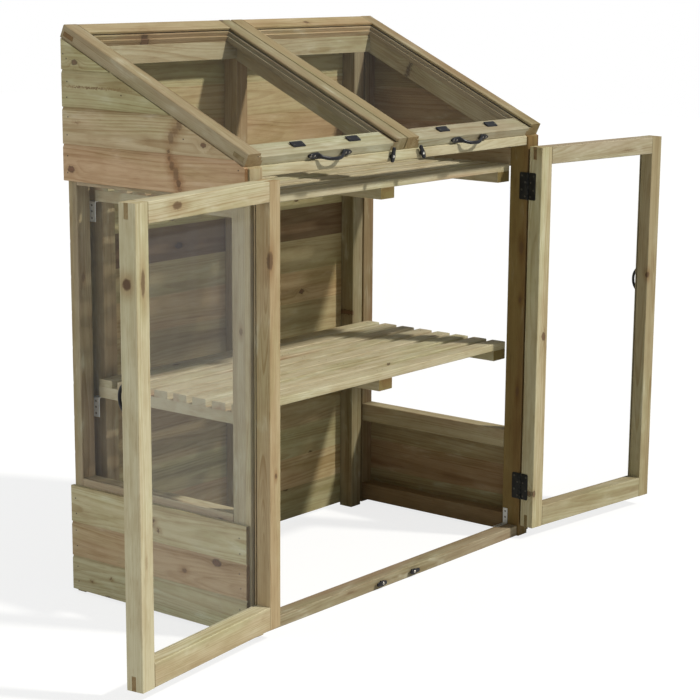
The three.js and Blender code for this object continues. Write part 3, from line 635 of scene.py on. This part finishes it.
back_tints[9] = back_tints[9] * (0.50, 0.44, 0.42)  # one board darker, under the top shelf: partly dark heartwood, partly painted shade from the shelf
foot = middle_of("back_boards") * (0, 1, 0) + Z * BOARD_FOOT["lower"] / 1000
timber("back_boards", foot, X, Z, seed=21.7, cover=BOARD_COVER / 1000, heart_radius=0.035, pith_distance=0.046,
       ring_width=0.0055, knots=0.35, contrast=0.52, stain=0.55, tints=back_tints)
print("walls of boards dressed", 5)

# %% [markdown]
# A shelf is one CAD piece with slats that run across the house on bearers that run inwards. Its
# material chooses by height: above the bearers' top it uses the slats' direction, and below it the
# bearers'. The slats repeat every 65 mm, so they are numbered as the boards are.

# %% Dress the shelves
SLAT_DEPTH, SHELF_FRONT = 20, 60


def dress_shelf(node, top, seed):
    """Slats above, bearers below: two softwood finishes mixed by height."""
    material, net = new_material(node + "_wood")
    where = named(net, net.add("ShaderNodeTexCoord"))
    (_, slat), (_, bearer) = (
        softwood(net, where.object, centre, along, across, cover, own_seed, sapwood=(0.53, 0.475, 0.32),
                 heartwood=(0.47, 0.35, 0.22), heart_radius=0.035, ring_width=0.004, pith_distance=0.04, knots=0.2,
                 contrast=0.45, stain=0.3)
        for centre, along, across, cover, own_seed in (
            (house(0, SHELF_FRONT - 10, top - 10), X, Y, SLAT_PITCH / 1000, seed),
            (house(0, 310, top - 34), Y, X, 0.0, seed + 5.3)))
    level, limits = net.parts(where.object)[2], [(top - SLAT_DEPTH + blur) / 1000 for blur in (-0.4, 0.4)]
    slat_share = net.step(level, *limits)
    colour = net.blend(slat_share, bearer.colour, slat.colour)
    # The bearers' sawn ends, which face the front, are darker.
    bearer_end = facing(net, where, Y) * (1 - slat_share)
    colour = net.blend(bearer_end, colour, (0.40, 0.34, 0.18), "MULTIPLY")
    roughness, height = (net.value(0, "ShaderNodeMix", {0: slat_share, 2: below, 3: over}, data_type="FLOAT")
                         for below, over in ((bearer.roughness, slat.roughness), (bearer.height, slat.height)))
    net.surface(colour, roughness, WOOD_SHINE, (*WOOD_BUMP, height))
    dress(node, material)


dress_shelf("middle_shelf", SHELF_TOP["middle"], 31.0)
dress_shelf("top_shelf", SHELF_TOP["top"], 47.0)
print("shelves dressed", 2)

# %% [markdown]
# The glazing is clear sheet. Seen straight on it is almost nothing, and seen aslant it mirrors more
# of the sky, so its opacity follows the Fresnel share of Layer Weight. Dried water and dust leave a
# faint, cloudy film, which is a mask on the opacity and on the roughness.

# %% Group: dust film
net, given, give = group("dust film", place=POINT)
broad = net.noise(given.place, 3.0)
runs_down = net.noise(given.place * (26.0, 26.0, 2.5))
give(film=net.step(broad, 0.35, 0.75) * net.step(runs_down, 0.30, 0.75))

# %% Clear sheets
def clear_sheet(name, haze, sheen):
    """A clear sheet. Its opacity counts on the face where a ray comes in, and is nothing where it leaves."""
    material, net = new_material(name)
    film = net.use("dust film", place=net.value("Object", "ShaderNodeTexCoord")).film
    fresnel = net.value("Fresnel", "ShaderNodeLayerWeight", {"Blend": 0.35})
    opacity = net.math("MINIMUM", fresnel * sheen + haze + film * haze, 0.85)
    entering = 1 - net.value("Backfacing", "ShaderNodeNewGeometry")
    net.surface((0.36, 0.39, 0.43), film * 0.20 + 0.03, 0.7, Alpha=opacity * entering)
    return material


panes = [node for node, slot in slot_of.items() if slot == "clear_sheet"]
for node in panes:
    haze, sheen = (0.004, 0.16) if "lid" in node else (0.016, 0.26) if "right" in node else (0.045, 0.40)
    dress(node, clear_sheet(node + "_clear", haze, sheen))
print("clear sheets dressed", len(panes))

# %% [markdown]
# The hardware is black: moulded plastic for the handles, buttons and clips, painted steel for the
# hinges. Moulded plastic has a fine, even grain and a soft shine. Paint on steel is smoother, with
# small orange-peel waves. Both gather pale dust, which a shared group gives as a mask.

# %% Group: handled surface
net, given, give = group("handled surface", place=POINT, grain_size=900.0, dust=0.3)
patches = net.noise(given.place, 45.0, 3.0, 0.6)
scratch = net.noise(given.place * (60.0, 900.0, 240.0), 1.0, 1.0)
give(grain=net.noise(given.place, given.grain_size), dust=net.step(patches, 0.48, 0.72) * given.dust,
     scratch=net.step(scratch, 0.70, 0.78))

# %% Hardware materials
def hardware(name, colour, dusty, metallic, roughness, grain_size, dust, bump):
    """A moulded or painted surface: its own colour, a dust mask, a fine grain and fine scratches."""
    material, net = new_material(name)
    place = net.value("Object", "ShaderNodeTexCoord")
    skin = net.use("handled surface", place=place, grain_size=grain_size, dust=dust)
    rough = skin.scratch * 0.12 + (skin.dust * 0.35 + roughness)
    net.surface(net.blend(skin.dust, colour, dusty), rough, 0.35, (bump, 0.0002, skin.grain), Metallic=metallic)
    return material


HARDWARE = {name: hardware(name, *values) for name, values in {
    # own colour, colour of its dust, metal, roughness, grain size, share of dust, bump
    "black_plastic": ((0.010, 0.010, 0.013), (0.07, 0.07, 0.07), 0.0, 0.33, 1500.0, 0.25, 0.30),
    "black_paint": ((0.009, 0.010, 0.010), (0.05, 0.05, 0.04), 0.0, 0.45, 700.0, 0.35, 0.25),
    "bright_zinc": ((0.72, 0.74, 0.74), (0.50, 0.51, 0.49), 0.75, 0.42, 260.0, 0.55, 0.35),
    "screw_steel": ((0.78, 0.74, 0.66), (0.36, 0.27, 0.16), 0.9, 0.32, 900.0, 0.60, 0.20),
    "worn_steel": ((0.34, 0.31, 0.27), (0.16, 0.12, 0.08), 0.85, 0.40, 900.0, 0.60, 0.20),
    "dark_screw": ((0.12, 0.115, 0.10), (0.10, 0.08, 0.05), 0.7, 0.45, 900.0, 0.45, 0.20),
    "nail_steel": ((0.055, 0.045, 0.036), (0.060, 0.038, 0.022), 0.3, 0.62, 900.0, 0.6, 0.30),
}.items()}
print("hardware finishes", len(HARDWARE))

# %% [markdown]
# New pieces are surfaces worked out as whole arrays. A grid of points becomes a mesh with one face
# between each four neighbours, and a row that comes back to its start is closed. A plate is an
# outline that is lifted in a few steps, each a little smaller or larger, so that its edges are
# rounded. A screw is the same small mesh, turned and moved to each of its places at once.

# %% Helpers for surfaces
def piece(name, shape, finish, body, smooth=True):
    """A mesh object at the origin, whose place is in its vertices, riding on a CAD body."""
    vertices, faces = shape
    mesh = bpy.data.meshes.new(name)
    mesh.from_pydata(np.reshape(vertices, (-1, 3)).tolist(), [], faces)
    mesh.polygons.foreach_set("use_smooth", np.full(len(mesh.polygons), smooth))
    mesh.materials.append(HARDWARE[finish])
    mesh.validate()
    mesh.update()
    made = bpy.data.objects.new(name, mesh)
    bpy.context.scene.collection.objects.link(made)
    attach(made, body)
    return made


def ring_faces(rows, columns):
    """Faces between neighbouring points of a rows x columns grid, closed round its columns."""
    row, column = np.meshgrid(np.arange(rows - 1), np.arange(columns), indexing="ij")
    here, after = row * columns + column, row * columns + (column + 1) % columns
    return np.stack([here, after, after + columns, here + columns], -1).reshape(-1, 4)


def closed_rings(rings):
    """Vertices and faces of a stack of rings with both ends closed by a fan round their middles.

    rings is an array (ring, point, 3). Seen from outside, the points of a ring run anticlockwise
    round the direction in which the rings follow each other.
    """
    count, around, _ = rings.shape
    vertices = np.concatenate([rings.reshape(-1, 3), rings[:1].mean(1), rings[-1:].mean(1)])
    here, middle, last = np.arange(around), np.full(around, count * around), (count - 1) * around
    after = (here + 1) % around
    first_fan = np.stack([here, middle, after], -1)
    last_fan = np.stack([here + last, after + last, middle + 1], -1)
    return vertices, [face for faces in (ring_faces(count, around), first_fan, last_fan) for face in faces.tolist()]


def ribbon_rings(rings):
    """A stack of rings with both ends closed by a ribbon: point i is joined to point count - 1 - i.

    A bent section needs this, because a fan round its middle would reach outside of the section.
    """
    count, around, _ = rings.shape
    step = np.arange(around // 2 - 1)
    ends = np.stack([step, step + 1, around - 2 - step, around - 1 - step], axis=-1)
    faces = np.concatenate([ring_faces(count, around), ends[:, ::-1], ends + (count - 1) * around])
    return rings.reshape(-1, 3), faces.tolist()


def merged(parts):
    """Several (vertices, faces) as one: each part's faces count on from the vertices before it."""
    start = np.cumsum([0] + [len(vertices) for vertices, _ in parts]).tolist()
    faces = [[i + first for i in face] for (_, faces), first in zip(parts, start) for face in faces]
    return np.concatenate([vertices for vertices, _ in parts]), faces


print("surfaces closed by fans or ribbons")


# %% Helpers for plates and screws
def turned(points, centre, across, up):
    """Points drawn as (across, up, out) set at a centre with those two directions."""
    return placed(points, centre, (across, up, np.cross(across, up)))


def soft_rectangle(width, height, corner, points=6):
    """The outline of a rectangle with round corners, anticlockwise from the right: arcs of radius corner."""
    angle = np.linspace(0, np.pi / 2, points)
    quarter = np.stack([np.cos(angle), np.sin(angle)], -1) * corner + np.array([width, height]) / 2 - corner
    return np.concatenate([quarter, quarter[::-1] * (-1, 1), -quarter, quarter[::-1] * (1, -1)])


def plate(outline, thickness, bevel):
    """Rings of a flat plate from an outline (point, 2): its edge curves in over the bevel, above and below.

    Ring k stands at height z and is the outline drawn in towards its middle by the bevel's arc.
    """
    angle = np.linspace(0, np.pi / 2, 4)
    inset, low = bevel * (1 - np.sin(angle)), bevel * (1 - np.cos(angle))
    heights = np.concatenate([low, thickness - low[::-1]])
    insets = np.concatenate([inset, inset[::-1]])
    flat = outline * (1 - insets[:, None] / np.abs(outline).max(0))[:, None, :]
    return np.concatenate([flat, np.broadcast_to(heights[:, None, None], flat.shape[:2] + (1,))], axis=-1)


def ring_stack(profile, points, first=0.0):
    """Rings about an axis: each row of the profile has a radius, or one for each point, and a height."""
    angle = (np.arange(points) + first) * 2 * np.pi / points
    return np.stack([np.stack(np.broadcast_arrays(np.cos(angle) * radius, np.sin(angle) * radius, height), -1)
                     for radius, height in profile])


def screw_mesh(radius, rise):
    """A cross-head screw: rings from the rim over a low dome to a star-shaped recess, 16 points each.

    The star's radius is 0.62 of the head at its four arms and 0.2 between them.
    """
    star = np.where(np.arange(16) % 4 == 0, 0.62, 0.20)
    rows = ((1, -0.15), (1, 0.25), (0.86, 0.72), (star + 0.06, 0.98), (star * 0.8, -0.10))
    return closed_rings(ring_stack([(share * radius, height * rise) for share, height in rows], 16))


def scattered(shape, places):
    """A small shape at many places. A place is its centre, the way that it faces and its turn in degrees."""
    out = np.array([place[1] for place in places], float)
    out /= np.linalg.norm(out, axis=1, keepdims=True)
    side = np.cross(np.where(np.abs(out[:, 2:]) > 0.9, X, Z), out)
    side /= np.linalg.norm(side, axis=1, keepdims=True)
    up = np.cross(out, side)
    spin = np.radians([place[2] for place in places])[:, None]
    axes = np.stack([side * np.cos(spin) + up * np.sin(spin), up * np.cos(spin) - side * np.sin(spin), out], axis=1)
    return merged([(placed(shape[0], place[0], own), shape[1]) for place, own in zip(places, axes)])


def screws(name, places, body, finish="dark_screw", radius=2.9, rise=0.32):
    """All the screws of one piece, as one mesh."""
    return piece(name, scattered(screw_mesh(radius, rise), places), finish, body)


def screw_row(spots, height, centre, axes, first, step):
    """Places for screws: spots along two axes, heads at a height along the third, each turned a step further."""
    return [(placed((*spot, height), centre, axes), axes[2], first + step * k) for k, spot in enumerate(spots)]


print("a screw has", len(screw_mesh(3, 1)[1]), "faces")

# %% [markdown]
# The lids and doors are drawn open by moulded handles. Each is one bar whose section runs from a
# flat, hooded foot into a round grip that stands off the face. The CAD handle has the same formula
# with few facets; this finer one replaces it, with a dimple and a screw in each foot.

# %% Handles
def handle(name, node, centre, along, out, size, body):
    """A bow handle. At station u its axis stands at foot / 2 + rise * (1 - |2u / bow| ** 2.4).

    The section is a superellipse whose power and half sizes run from the foot's to the grip's, and a
    dimple of 1.1 mm is pressed into the face of each foot round each screw.
    """
    length, bow, width, rise, foot, grip = size
    reach, seat = length / 2, 0.3
    share = np.cos(np.linspace(0, np.pi, 145))
    u = reach * np.sign(share) * np.abs(share) ** 0.8
    lift = np.maximum(0, 1 - np.abs(2 * u / bow) ** 2.4)
    level = foot / 2 + seat + rise * lift
    slope = np.arctan(np.gradient(level, u))[:, None]
    blend = np.minimum(1, 2 * lift)
    blend = blend * blend * (3 - 2 * blend)
    tip = np.sqrt(np.maximum(0.1, 1 - (np.abs(u) / reach) ** 8))
    half_width = (width + (grip - width) * blend) / 2 * tip
    half_depth = (foot + (grip - foot) * blend) / 2
    power = (0.45 + 0.55 * blend)[:, None]
    angle = (np.arange(40) + 0.5) * 2 * np.pi / 40
    across, off = (np.sign(wave) * np.abs(wave) ** power * half[:, None]
                   for wave, half in ((np.cos(angle), half_width), (np.sin(angle), half_depth)))
    holes = [reach - 7.5, reach - 21.5] if reach - bow / 2 > 25 else [(reach + bow / 2) / 2]
    from_screw = np.min([np.hypot(np.abs(u)[:, None] - hole, across) for hole in holes], axis=0)
    off = off - 1.1 * np.clip(1 - (from_screw / 4.6) ** 2, 0, 1) ** 0.5 * (off > 0) * (1 - blend)[:, None]
    rings = np.stack([u[:, None] - off * np.sin(slope), across, level[:, None] + off * np.cos(slope)], -1)
    axes = (along, np.cross(out, along), out)
    made = piece(name, closed_rings(placed(rings[::-1], centre, axes)), "black_plastic", body)
    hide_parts(node)
    places = [(placed((sign * hole, 0, foot + seat - 1.2), centre, axes), out, 20 + 50 * sign + hole)
              for sign in (-1, 1) for hole in holes]
    screws(name + "_screws", places, body, "worn_steel", radius=3.0, rise=1.1)


LID_HANDLE_AT = {"left": -305, "right": 278}
# Length, bow, foot width, rise, foot depth and grip.
LID_BOW, DOOR_BOW = (162, 98, 17, 22, 6, 9), (95, 74, 14, 20, 6, 8)
for name in SIDE:
    handle(f"lid_bow_{name}", f"lid_handle_{name}", on_lid(LID_HANDLE_AT[name], 0, 12.5), X, -UP_SLOPE,
           LID_BOW, f"lid_{name}")
    handle(f"door_bow_{name}", f"door_handle_{name}", on_door(name, 527.5, 2.6, 694), Z,
           -door_axes(name)[1][1], DOOR_BOW, f"door_{name}")
print("handles", 4)

# %% [markdown]
# A turn button is a small moulded bar on one screw. Its outline is two half widths along its length:
# a narrow arm that swells to the hub like a bell curve, and a round end. The CAD outline has the same
# formula. Here it is finer, its edges are rounded, and it turns on a real cross-head screw.

# %% Turn buttons
def button_outline(points=96):
    """Half width at u: (5.5 + 2 exp(-(u / 7.5)^2)) * sqrt(1 - end^2), end = share of the last 5.5 mm."""
    u = -15 + 39 * (1 - np.cos(np.linspace(0, np.pi, points // 2 + 1))) / 2
    arm = np.where(u > 0, 24.0, 15.0)
    end = np.clip(np.abs(u) - (arm - 5.5), 0, None) / 5.5
    half = (5.5 + 2 * np.exp(-(u / 7.5) ** 2)) * np.sqrt(np.clip(1 - end * end, 0, None))
    return np.concatenate([np.stack([half, u], -1), np.stack([-half, u], -1)[-2:0:-1]])


def turn_button(name, node, centre, turn, body):
    """The bar, its boss behind it and the screw that it turns on."""
    bar = plate(button_outline(), 5.0, 1.3) + (0, 0, 0.9)
    boss = ring_stack([(5, -4.7), (5, 1.5)], 28)
    angle = np.radians(turn)
    up, across = np.array([np.sin(angle), 0, np.cos(angle)]), np.array([np.cos(angle), 0, -np.sin(angle)])
    shape = merged([closed_rings(turned(rings, centre, across, up)) for rings in (bar, boss)])
    made = piece(name, shape, "black_plastic", body)
    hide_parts(node)
    screws(name + "_screw", [(centre - Y * 0.0055, -Y, turn + 20)], body, "screw_steel", 3.9, 1.9)


for row, level, places in (("top", 1138.5, {"left": (-61, 13), "right": (65, -28)}),
                           ("bottom", 16, {"left": (-83, -90), "right": (53, 90)})):
    for name, (across, turn) in places.items():
        turn_button(f"{row}_button_bar_{name}", f"{row}_turn_button_{name}", house(across, 0, level), turn,
                    f"{row}_button_{name}")
print("turn buttons", 4, "outline points", len(button_outline()))

# %% [markdown]
# The doors hang on steel butt hinges, painted black. A leaf is a plate with rounded corners, let
# against the timber and held by countersunk screws, and its knuckles wrap round the pin. On the CAD
# model the doors' own leaves are part of their stiles, so here each gets a painted plate over it,
# 0.15 mm proud of it all round.

# %% Door hinges
def knuckles(length, radius, count=5, sides=32, first=0.0):
    """Rings of a barrel along its axis: each joint between knuckles is a groove 0.7 wide and 0.5 deep."""
    groove = ((0, -0.35), (0.5, -0.1), (0.5, 0.1), (0, 0.35))  # depth, height from the joint
    cap = [(1.2, 1.1), (2.0, 0.7), (2.1, 0), (radius - 0.25, 0), (radius, -0.3)]  # radius, height past the end
    rows = [(r, -length / 2 - past) for r, past in cap]
    for joint in (np.arange(1, count) / count - 0.5) * length:
        rows += [(radius - depth, joint + height) for depth, height in groove]
    rows += [(r, length / 2 + past) for r, past in cap[::-1]]
    return ring_stack(rows, sides, first)


def leaf(width, height, corner, thickness, bevel, centre, across, up):
    """A leaf of a hinge: a plate with round corners, set at a centre."""
    return closed_rings(turned(plate(soft_rectangle(width, height, corner), thickness, bevel), centre, across, up))


HINGE_LENGTH, HINGE_LEVELS = 76, {"lower": 150, "upper": 1012}
POST_LEAF, DOOR_LEAF = (554.72, 11.85), (2.0, 15.45)  # across and inwards, of the house and of the door
# Four screws down a leaf, in two staggered columns.
leaf_spots = np.stack([np.array([-1, 1, -1, 1]) * 5.5, np.array([-0.38, -0.14, 0.14, 0.38]) * HINGE_LENGTH], -1)
for name, side in SIDE.items():
    pin, (door_way, door_inwards, _) = door_axes(name)
    for row, level in HINGE_LEVELS.items():
        # The post's leaf faces the middle of the house; its barrel stands on the pin.
        face = -side * X
        on_post = house(side * POST_LEAF[0], POST_LEAF[1], level)
        shape = merged([leaf(26.3, HINGE_LENGTH, 4.0, 1.45, 0.4, on_post, np.cross(Z, face), Z),
                        closed_rings(placed(knuckles(HINGE_LENGTH, 3.0), pin + Z * level / 1000, (X, Y, Z)))])
        made = piece(f"{row}_hinge_{name}", shape, "black_paint", "frame")
        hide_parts(f"{row}_door_hinge_{name}")
        places = screw_row(leaf_spots, 1.38, on_post, (Y, Z, face), 15, 37)
        screws(f"{row}_hinge_screws_{name}", places, "frame")
        # The door's leaf lies on the edge of its stile, which faces the pin.
        on_edge = placed((*DOOR_LEAF, level), pin, (door_way, door_inwards, Z))
        shape = leaf(24.75, HINGE_LENGTH + 0.3, 3.0, 1.55, 0.3, on_edge, np.cross(Z, -door_way), Z)
        piece(f"{row}_door_leaf_{name}", shape, "black_paint", f"door_{name}")
        places = screw_row(leaf_spots, 1.48, on_edge, (door_inwards, Z, -door_way), 25, 41)
        screws(f"{row}_door_leaf_screws_{name}", places, f"door_{name}")
print("door hinges", 4, "screws on a leaf", len(leaf_spots))

# %% [markdown]
# The lids turn on four more hinges behind the back boards' top edge. Their fixed leaves and barrels
# are part of the CAD back boards, and their moving leaves are part of the lids' top rails. Each gets
# its painted skin: a plate on the boards with the barrel along its upper edge, and a plate on the lid.

# %% Lid hinges
PIN_ALONG, PIN_RISE = 669.3, -3.8
BOARDS_TOP, LEAF_DROP, LEAF_WIDTH = 1421, 26.2, 60.3
FIXED_SPOTS = ((-22, -5), (-8, 4), (8, -5), (22, 4))
MOVING_SPOTS = ((-22, 3), (-8, -5), (8, 3), (22, -5))
fixed, fixed_screws = [], []
moving, moving_screws = ({name: [] for name in SIDE} for _ in range(2))
for centre_x in (-498, -112, 112, 498):
    name = "left" if centre_x < 0 else "right"
    pin_point = on_lid(centre_x, PIN_ALONG, PIN_RISE)
    top, low = pin_point[2] * 1000 - 0.8, BOARDS_TOP - LEAF_DROP
    on_boards = house(centre_x, BACK_FACE, (top + low) / 2)
    barrel = placed(knuckles(60, 3.02, sides=10, first=0.5), pin_point, (Y, Z, X))
    fixed += [leaf(LEAF_WIDTH, top - low, 3.0, 1.8, 0.35, on_boards, -X, Z), closed_rings(barrel)]
    fixed_screws += screw_row(FIXED_SPOTS, 1.75, on_boards, (X, Z, Y), 10, 33)
    on_rail = on_lid(centre_x, 666, 12.1)
    moving[name].append(leaf(LEAF_WIDTH, 24.2, 3.0, 2.05, 0.35, on_rail, -X, OFF_SLOPE))
    moving_screws[name] += screw_row(MOVING_SPOTS, 2.0, on_rail, (X, OFF_SLOPE, UP_SLOPE), 40, 29)
piece("lid_hinges_on_boards", merged(fixed), "black_paint", "frame")
screws("lid_hinge_screws_on_boards", fixed_screws, "frame", radius=2.7, rise=0.4)
for name in SIDE:
    piece(f"lid_hinge_leaves_{name}", merged(moving[name]), "black_paint", f"lid_{name}")
    screws(f"lid_hinge_screws_{name}", moving_screws[name], f"lid_{name}", radius=2.7, rise=0.4)
print("lid hinges", len(fixed) // 2)

# %% [markdown]
# Each lid's sheet lies over the bottom rail, so that rain runs off its edge. Two moulded clips hold it
# down. A clip's section rises from the rail over the sheet's edge. The section is carried across the
# clip's width, and drawn in a little at both ends so that they are rounded.

# %% Glazing clips
def carried(section, stations, insets):
    """A closed section (point, 2) carried along stations and drawn in to its middle by insets."""
    middle = section.mean(0)
    scale = 1 - np.asarray(insets)[:, None] / np.abs(section - middle).max(0)
    flat = middle + (section - middle) * scale[:, None, :]
    along = np.broadcast_to(np.asarray(stations, float)[:, None, None], flat.shape[:2] + (1,))
    return np.concatenate([along, flat], -1)


clip_section = np.array([  # along the slope and off it, from the front edge, underside first
    [25.0, 23.55], [40.6, 23.55], [40.6, 26.9], [44.5, 26.9], [44.5, 28.4], [43.7, 29.0], [40.5, 28.9],
    [28.0, 26.6], [26.0, 26.0], [25.0, 24.9]])
clip_edge = np.array([[22.5, 0.8], [22.3, 0.45], [21.7, 0.15], [20.9, 0]])  # half widths, and the inset there
clip = carried(clip_section, [*-clip_edge[:, 0], *clip_edge[::-1, 0]], [*clip_edge[:, 1], *clip_edge[::-1, 1]])
for name, centres in (("left", (-393, -181)), ("right", (196, 414))):
    parts = [ribbon_rings(placed(clip + (centre_x, 0, 0), LID_CORNER, LID_AXES)) for centre_x in centres]
    places = [place for centre_x in centres
              for place in screw_row(((-15, 0), (15, 0)), 0, on_lid(centre_x, 32.0, 27.5), LID_AXES, 30, 40)]
    piece(f"glazing_clips_{name}", merged(parts), "black_plastic", f"lid_{name}", smooth=False)
    screws(f"glazing_clip_screws_{name}", places, f"lid_{name}", radius=2.2, rise=0.6)
print("glazing clips", 4)

# %% [markdown]
# Bright zinc angle brackets hold what the frame carries: one under the back end of each outer bearer,
# one under each middle bearer, and one in each front corner of the bottom rail. An angle bracket is an
# L-shaped section carried across its width, with a small round inside the bend.

# %% Angle brackets
def angle_section(first, second, thickness=1.5, bend=3.0):
    """An L from (first, 0) round the corner at (0, 0) to (0, second): two arcs about the bend's centre."""
    angle = np.linspace(1.5 * np.pi, np.pi, 6)
    arc = np.stack([np.cos(angle), np.sin(angle)], -1)
    outer, inner = bend + arc * bend, bend + arc * (bend - thickness)
    tip = [[0, second], [thickness, second]]
    return np.concatenate([[[first, 0]], outer, tip, inner[::-1], [[first, thickness]]])


brackets, bracket_screws = [], []
UNDER_SHELF = 49  # from a shelf's top down to the corner of a bracket


def place_bracket(corner, first_way, second_way, first, second, width, heads=(0.42, 0.80), outside=False):
    """A bracket in its corner, with its legs along two ways, and its screws at shares of each leg's length.

    outside puts screws on its back too, where a pane shows it.
    """
    stations = np.array([-width, -width + 0.6, width - 0.6, width]) / 2
    rings = carried(angle_section(first, second), stations, [0.2, 0, 0, 0.2])
    axes = (np.cross(second_way, first_way), first_way, second_way)
    brackets.append(ribbon_rings(placed(rings, corner, axes)))
    for leg, way, off in ((first, first_way, second_way), (second, second_way, first_way)):
        for share in heads:
            if leg > 20:
                bracket_screws.append((corner + (way * leg * share + off * 1.45) / 1000, off, 360 * share))
                if outside:
                    bracket_screws.append((corner + way * leg * share / 1000, -off, 360 * share))


for side in SIDE.values():
    # In the corner between a post and the bottom rail, clear of the closed door.
    place_bracket(house(side * 555, 46, 30), -side * X, Z, 50, 46, 15)
    for top in SHELF_TOP.values():
        place_bracket(house(side * 555, 572, top - UNDER_SHELF), -Z, -side * X, 52, 18, 24,
                      heads=(0.20, 0.50, 0.82), outside=True)
for top in SHELF_TOP.values():
    place_bracket(house(0, 562, top - UNDER_SHELF), -Z, -Y, 50, 50, 18)
piece("angle_brackets", merged(brackets), "bright_zinc", "frame", smooth=False)
screws("angle_bracket_screws", bracket_screws, "frame", radius=2.8, rise=0.35)
print("angle brackets", len(brackets), "screws", len(bracket_screws))

# %% [markdown]
# The boards are nailed to the posts, stiles and battens, and the slats to their bearers. A nail is a
# small, low dome. All the nails of one wall are one mesh: the dome is copied to every place at once.

# %% Nails
NAIL_RISES = (24, 66)  # of the two nails in a board, above its lower edge
END_LINES, BACK_LINES, SLAT_LINES = (27, 593), (-566, -506.5, 0, 506.5, 566), (-524, -9, 9, 524)


def nails(name, places, out, radius=1.9):
    """Low domes at the places, facing out."""
    dome = closed_rings(ring_stack([(radius, -0.3), (radius, 0.10), (radius * 0.7, 0.24)], 8))
    piece(name, scattered(dome, [(place, out, 0) for place in places]), "nail_steel", "frame")


luck = np.random.default_rng(5)
for name, side in SIDE.items():
    places = []
    for level, count in (("lower", 3), ("upper", 4)):
        for board in range(count):
            bottom = BOARD_FOOT[level] + board * BOARD_COVER
            for inwards in END_LINES:
                for rise in NAIL_RISES:
                    at = np.array([inwards, bottom + rise]) + luck.uniform(-3.5, 3.5, 2)
                    roof = LID_HEIGHT + (at[0] - LID_FRONT) * np.tan(SLOPE) - 12
                    if level == "lower" or at[1] < roof:
                        places.append(house(side * END_FACE, *at))
            if level == "upper" and board:
                # Where the roof cuts a board short, it is nailed to the sloping rafter.
                along = max(60.0, (bottom + 62 - LID_HEIGHT) / np.tan(SLOPE) + 10)
                places.append(house(side * END_FACE, along + luck.uniform(18, 26), bottom + 38))
    nails(f"side_nails_{name}", places, side * X)
    print(name, "side nails", len(places))
lower_edges = [BOARD_FOOT["lower"] + board * BOARD_COVER for board in range(15)]
places = [house(across + luck.uniform(-4, 4), BACK_FACE, edge + rise + luck.uniform(-3, 3))
          for across in BACK_LINES for edge in lower_edges for rise in NAIL_RISES]
nails("back_nails", places, Y)
places = [house(across + luck.uniform(-6, 6), SHELF_FRONT + SLAT_PITCH * slat + 22.5 + luck.uniform(-4, 4), top)
          for top in SHELF_TOP.values() for slat in range(8) for across in SLAT_LINES]
nails("slat_nails", places, Z, radius=1.7)
print("slat nails", len(places))

# %% [markdown]
# The floor is a wide pale plane just under the posts. Its own colour is pale, and the camera sees it
# as white as the backdrop where no shadow falls.

# %% Floor
HALF_FLOOR, FLOOR_DROP = 14.0, 0.0004
GLOW_STRENGTH, GLOW_SHARE = 1.28, 0.62
corners = np.array([[-1, -1, 0], [1, -1, 0], [1, 1, 0], [-1, 1, 0]]) * HALF_FLOOR - Z * FLOOR_DROP
floor_mesh = bpy.data.meshes.new("floor")
floor_mesh.from_pydata(corners.tolist(), [], [(0, 1, 2, 3)])
floor = bpy.data.objects.new("floor", floor_mesh)
bpy.context.scene.collection.objects.link(floor)
floor_material, net = new_material("floor_finish")
matt = net.value(0, "ShaderNodeBsdfDiffuse", {"Color": (0.62, 0.62, 0.60)})
glow = net.value(0, "ShaderNodeEmission", {"Color": (1, 1, 1), "Strength": GLOW_STRENGTH})
share = net.value("Is Camera Ray", "ShaderNodeLightPath") * GLOW_SHARE
net.add("ShaderNodeOutputMaterial", {0: net.value(0, "ShaderNodeMixShader", {0: share, 1: matt, 2: glow})})
floor_mesh.materials.append(floor_material)
print("floor", 2 * HALF_FLOOR, "m wide")
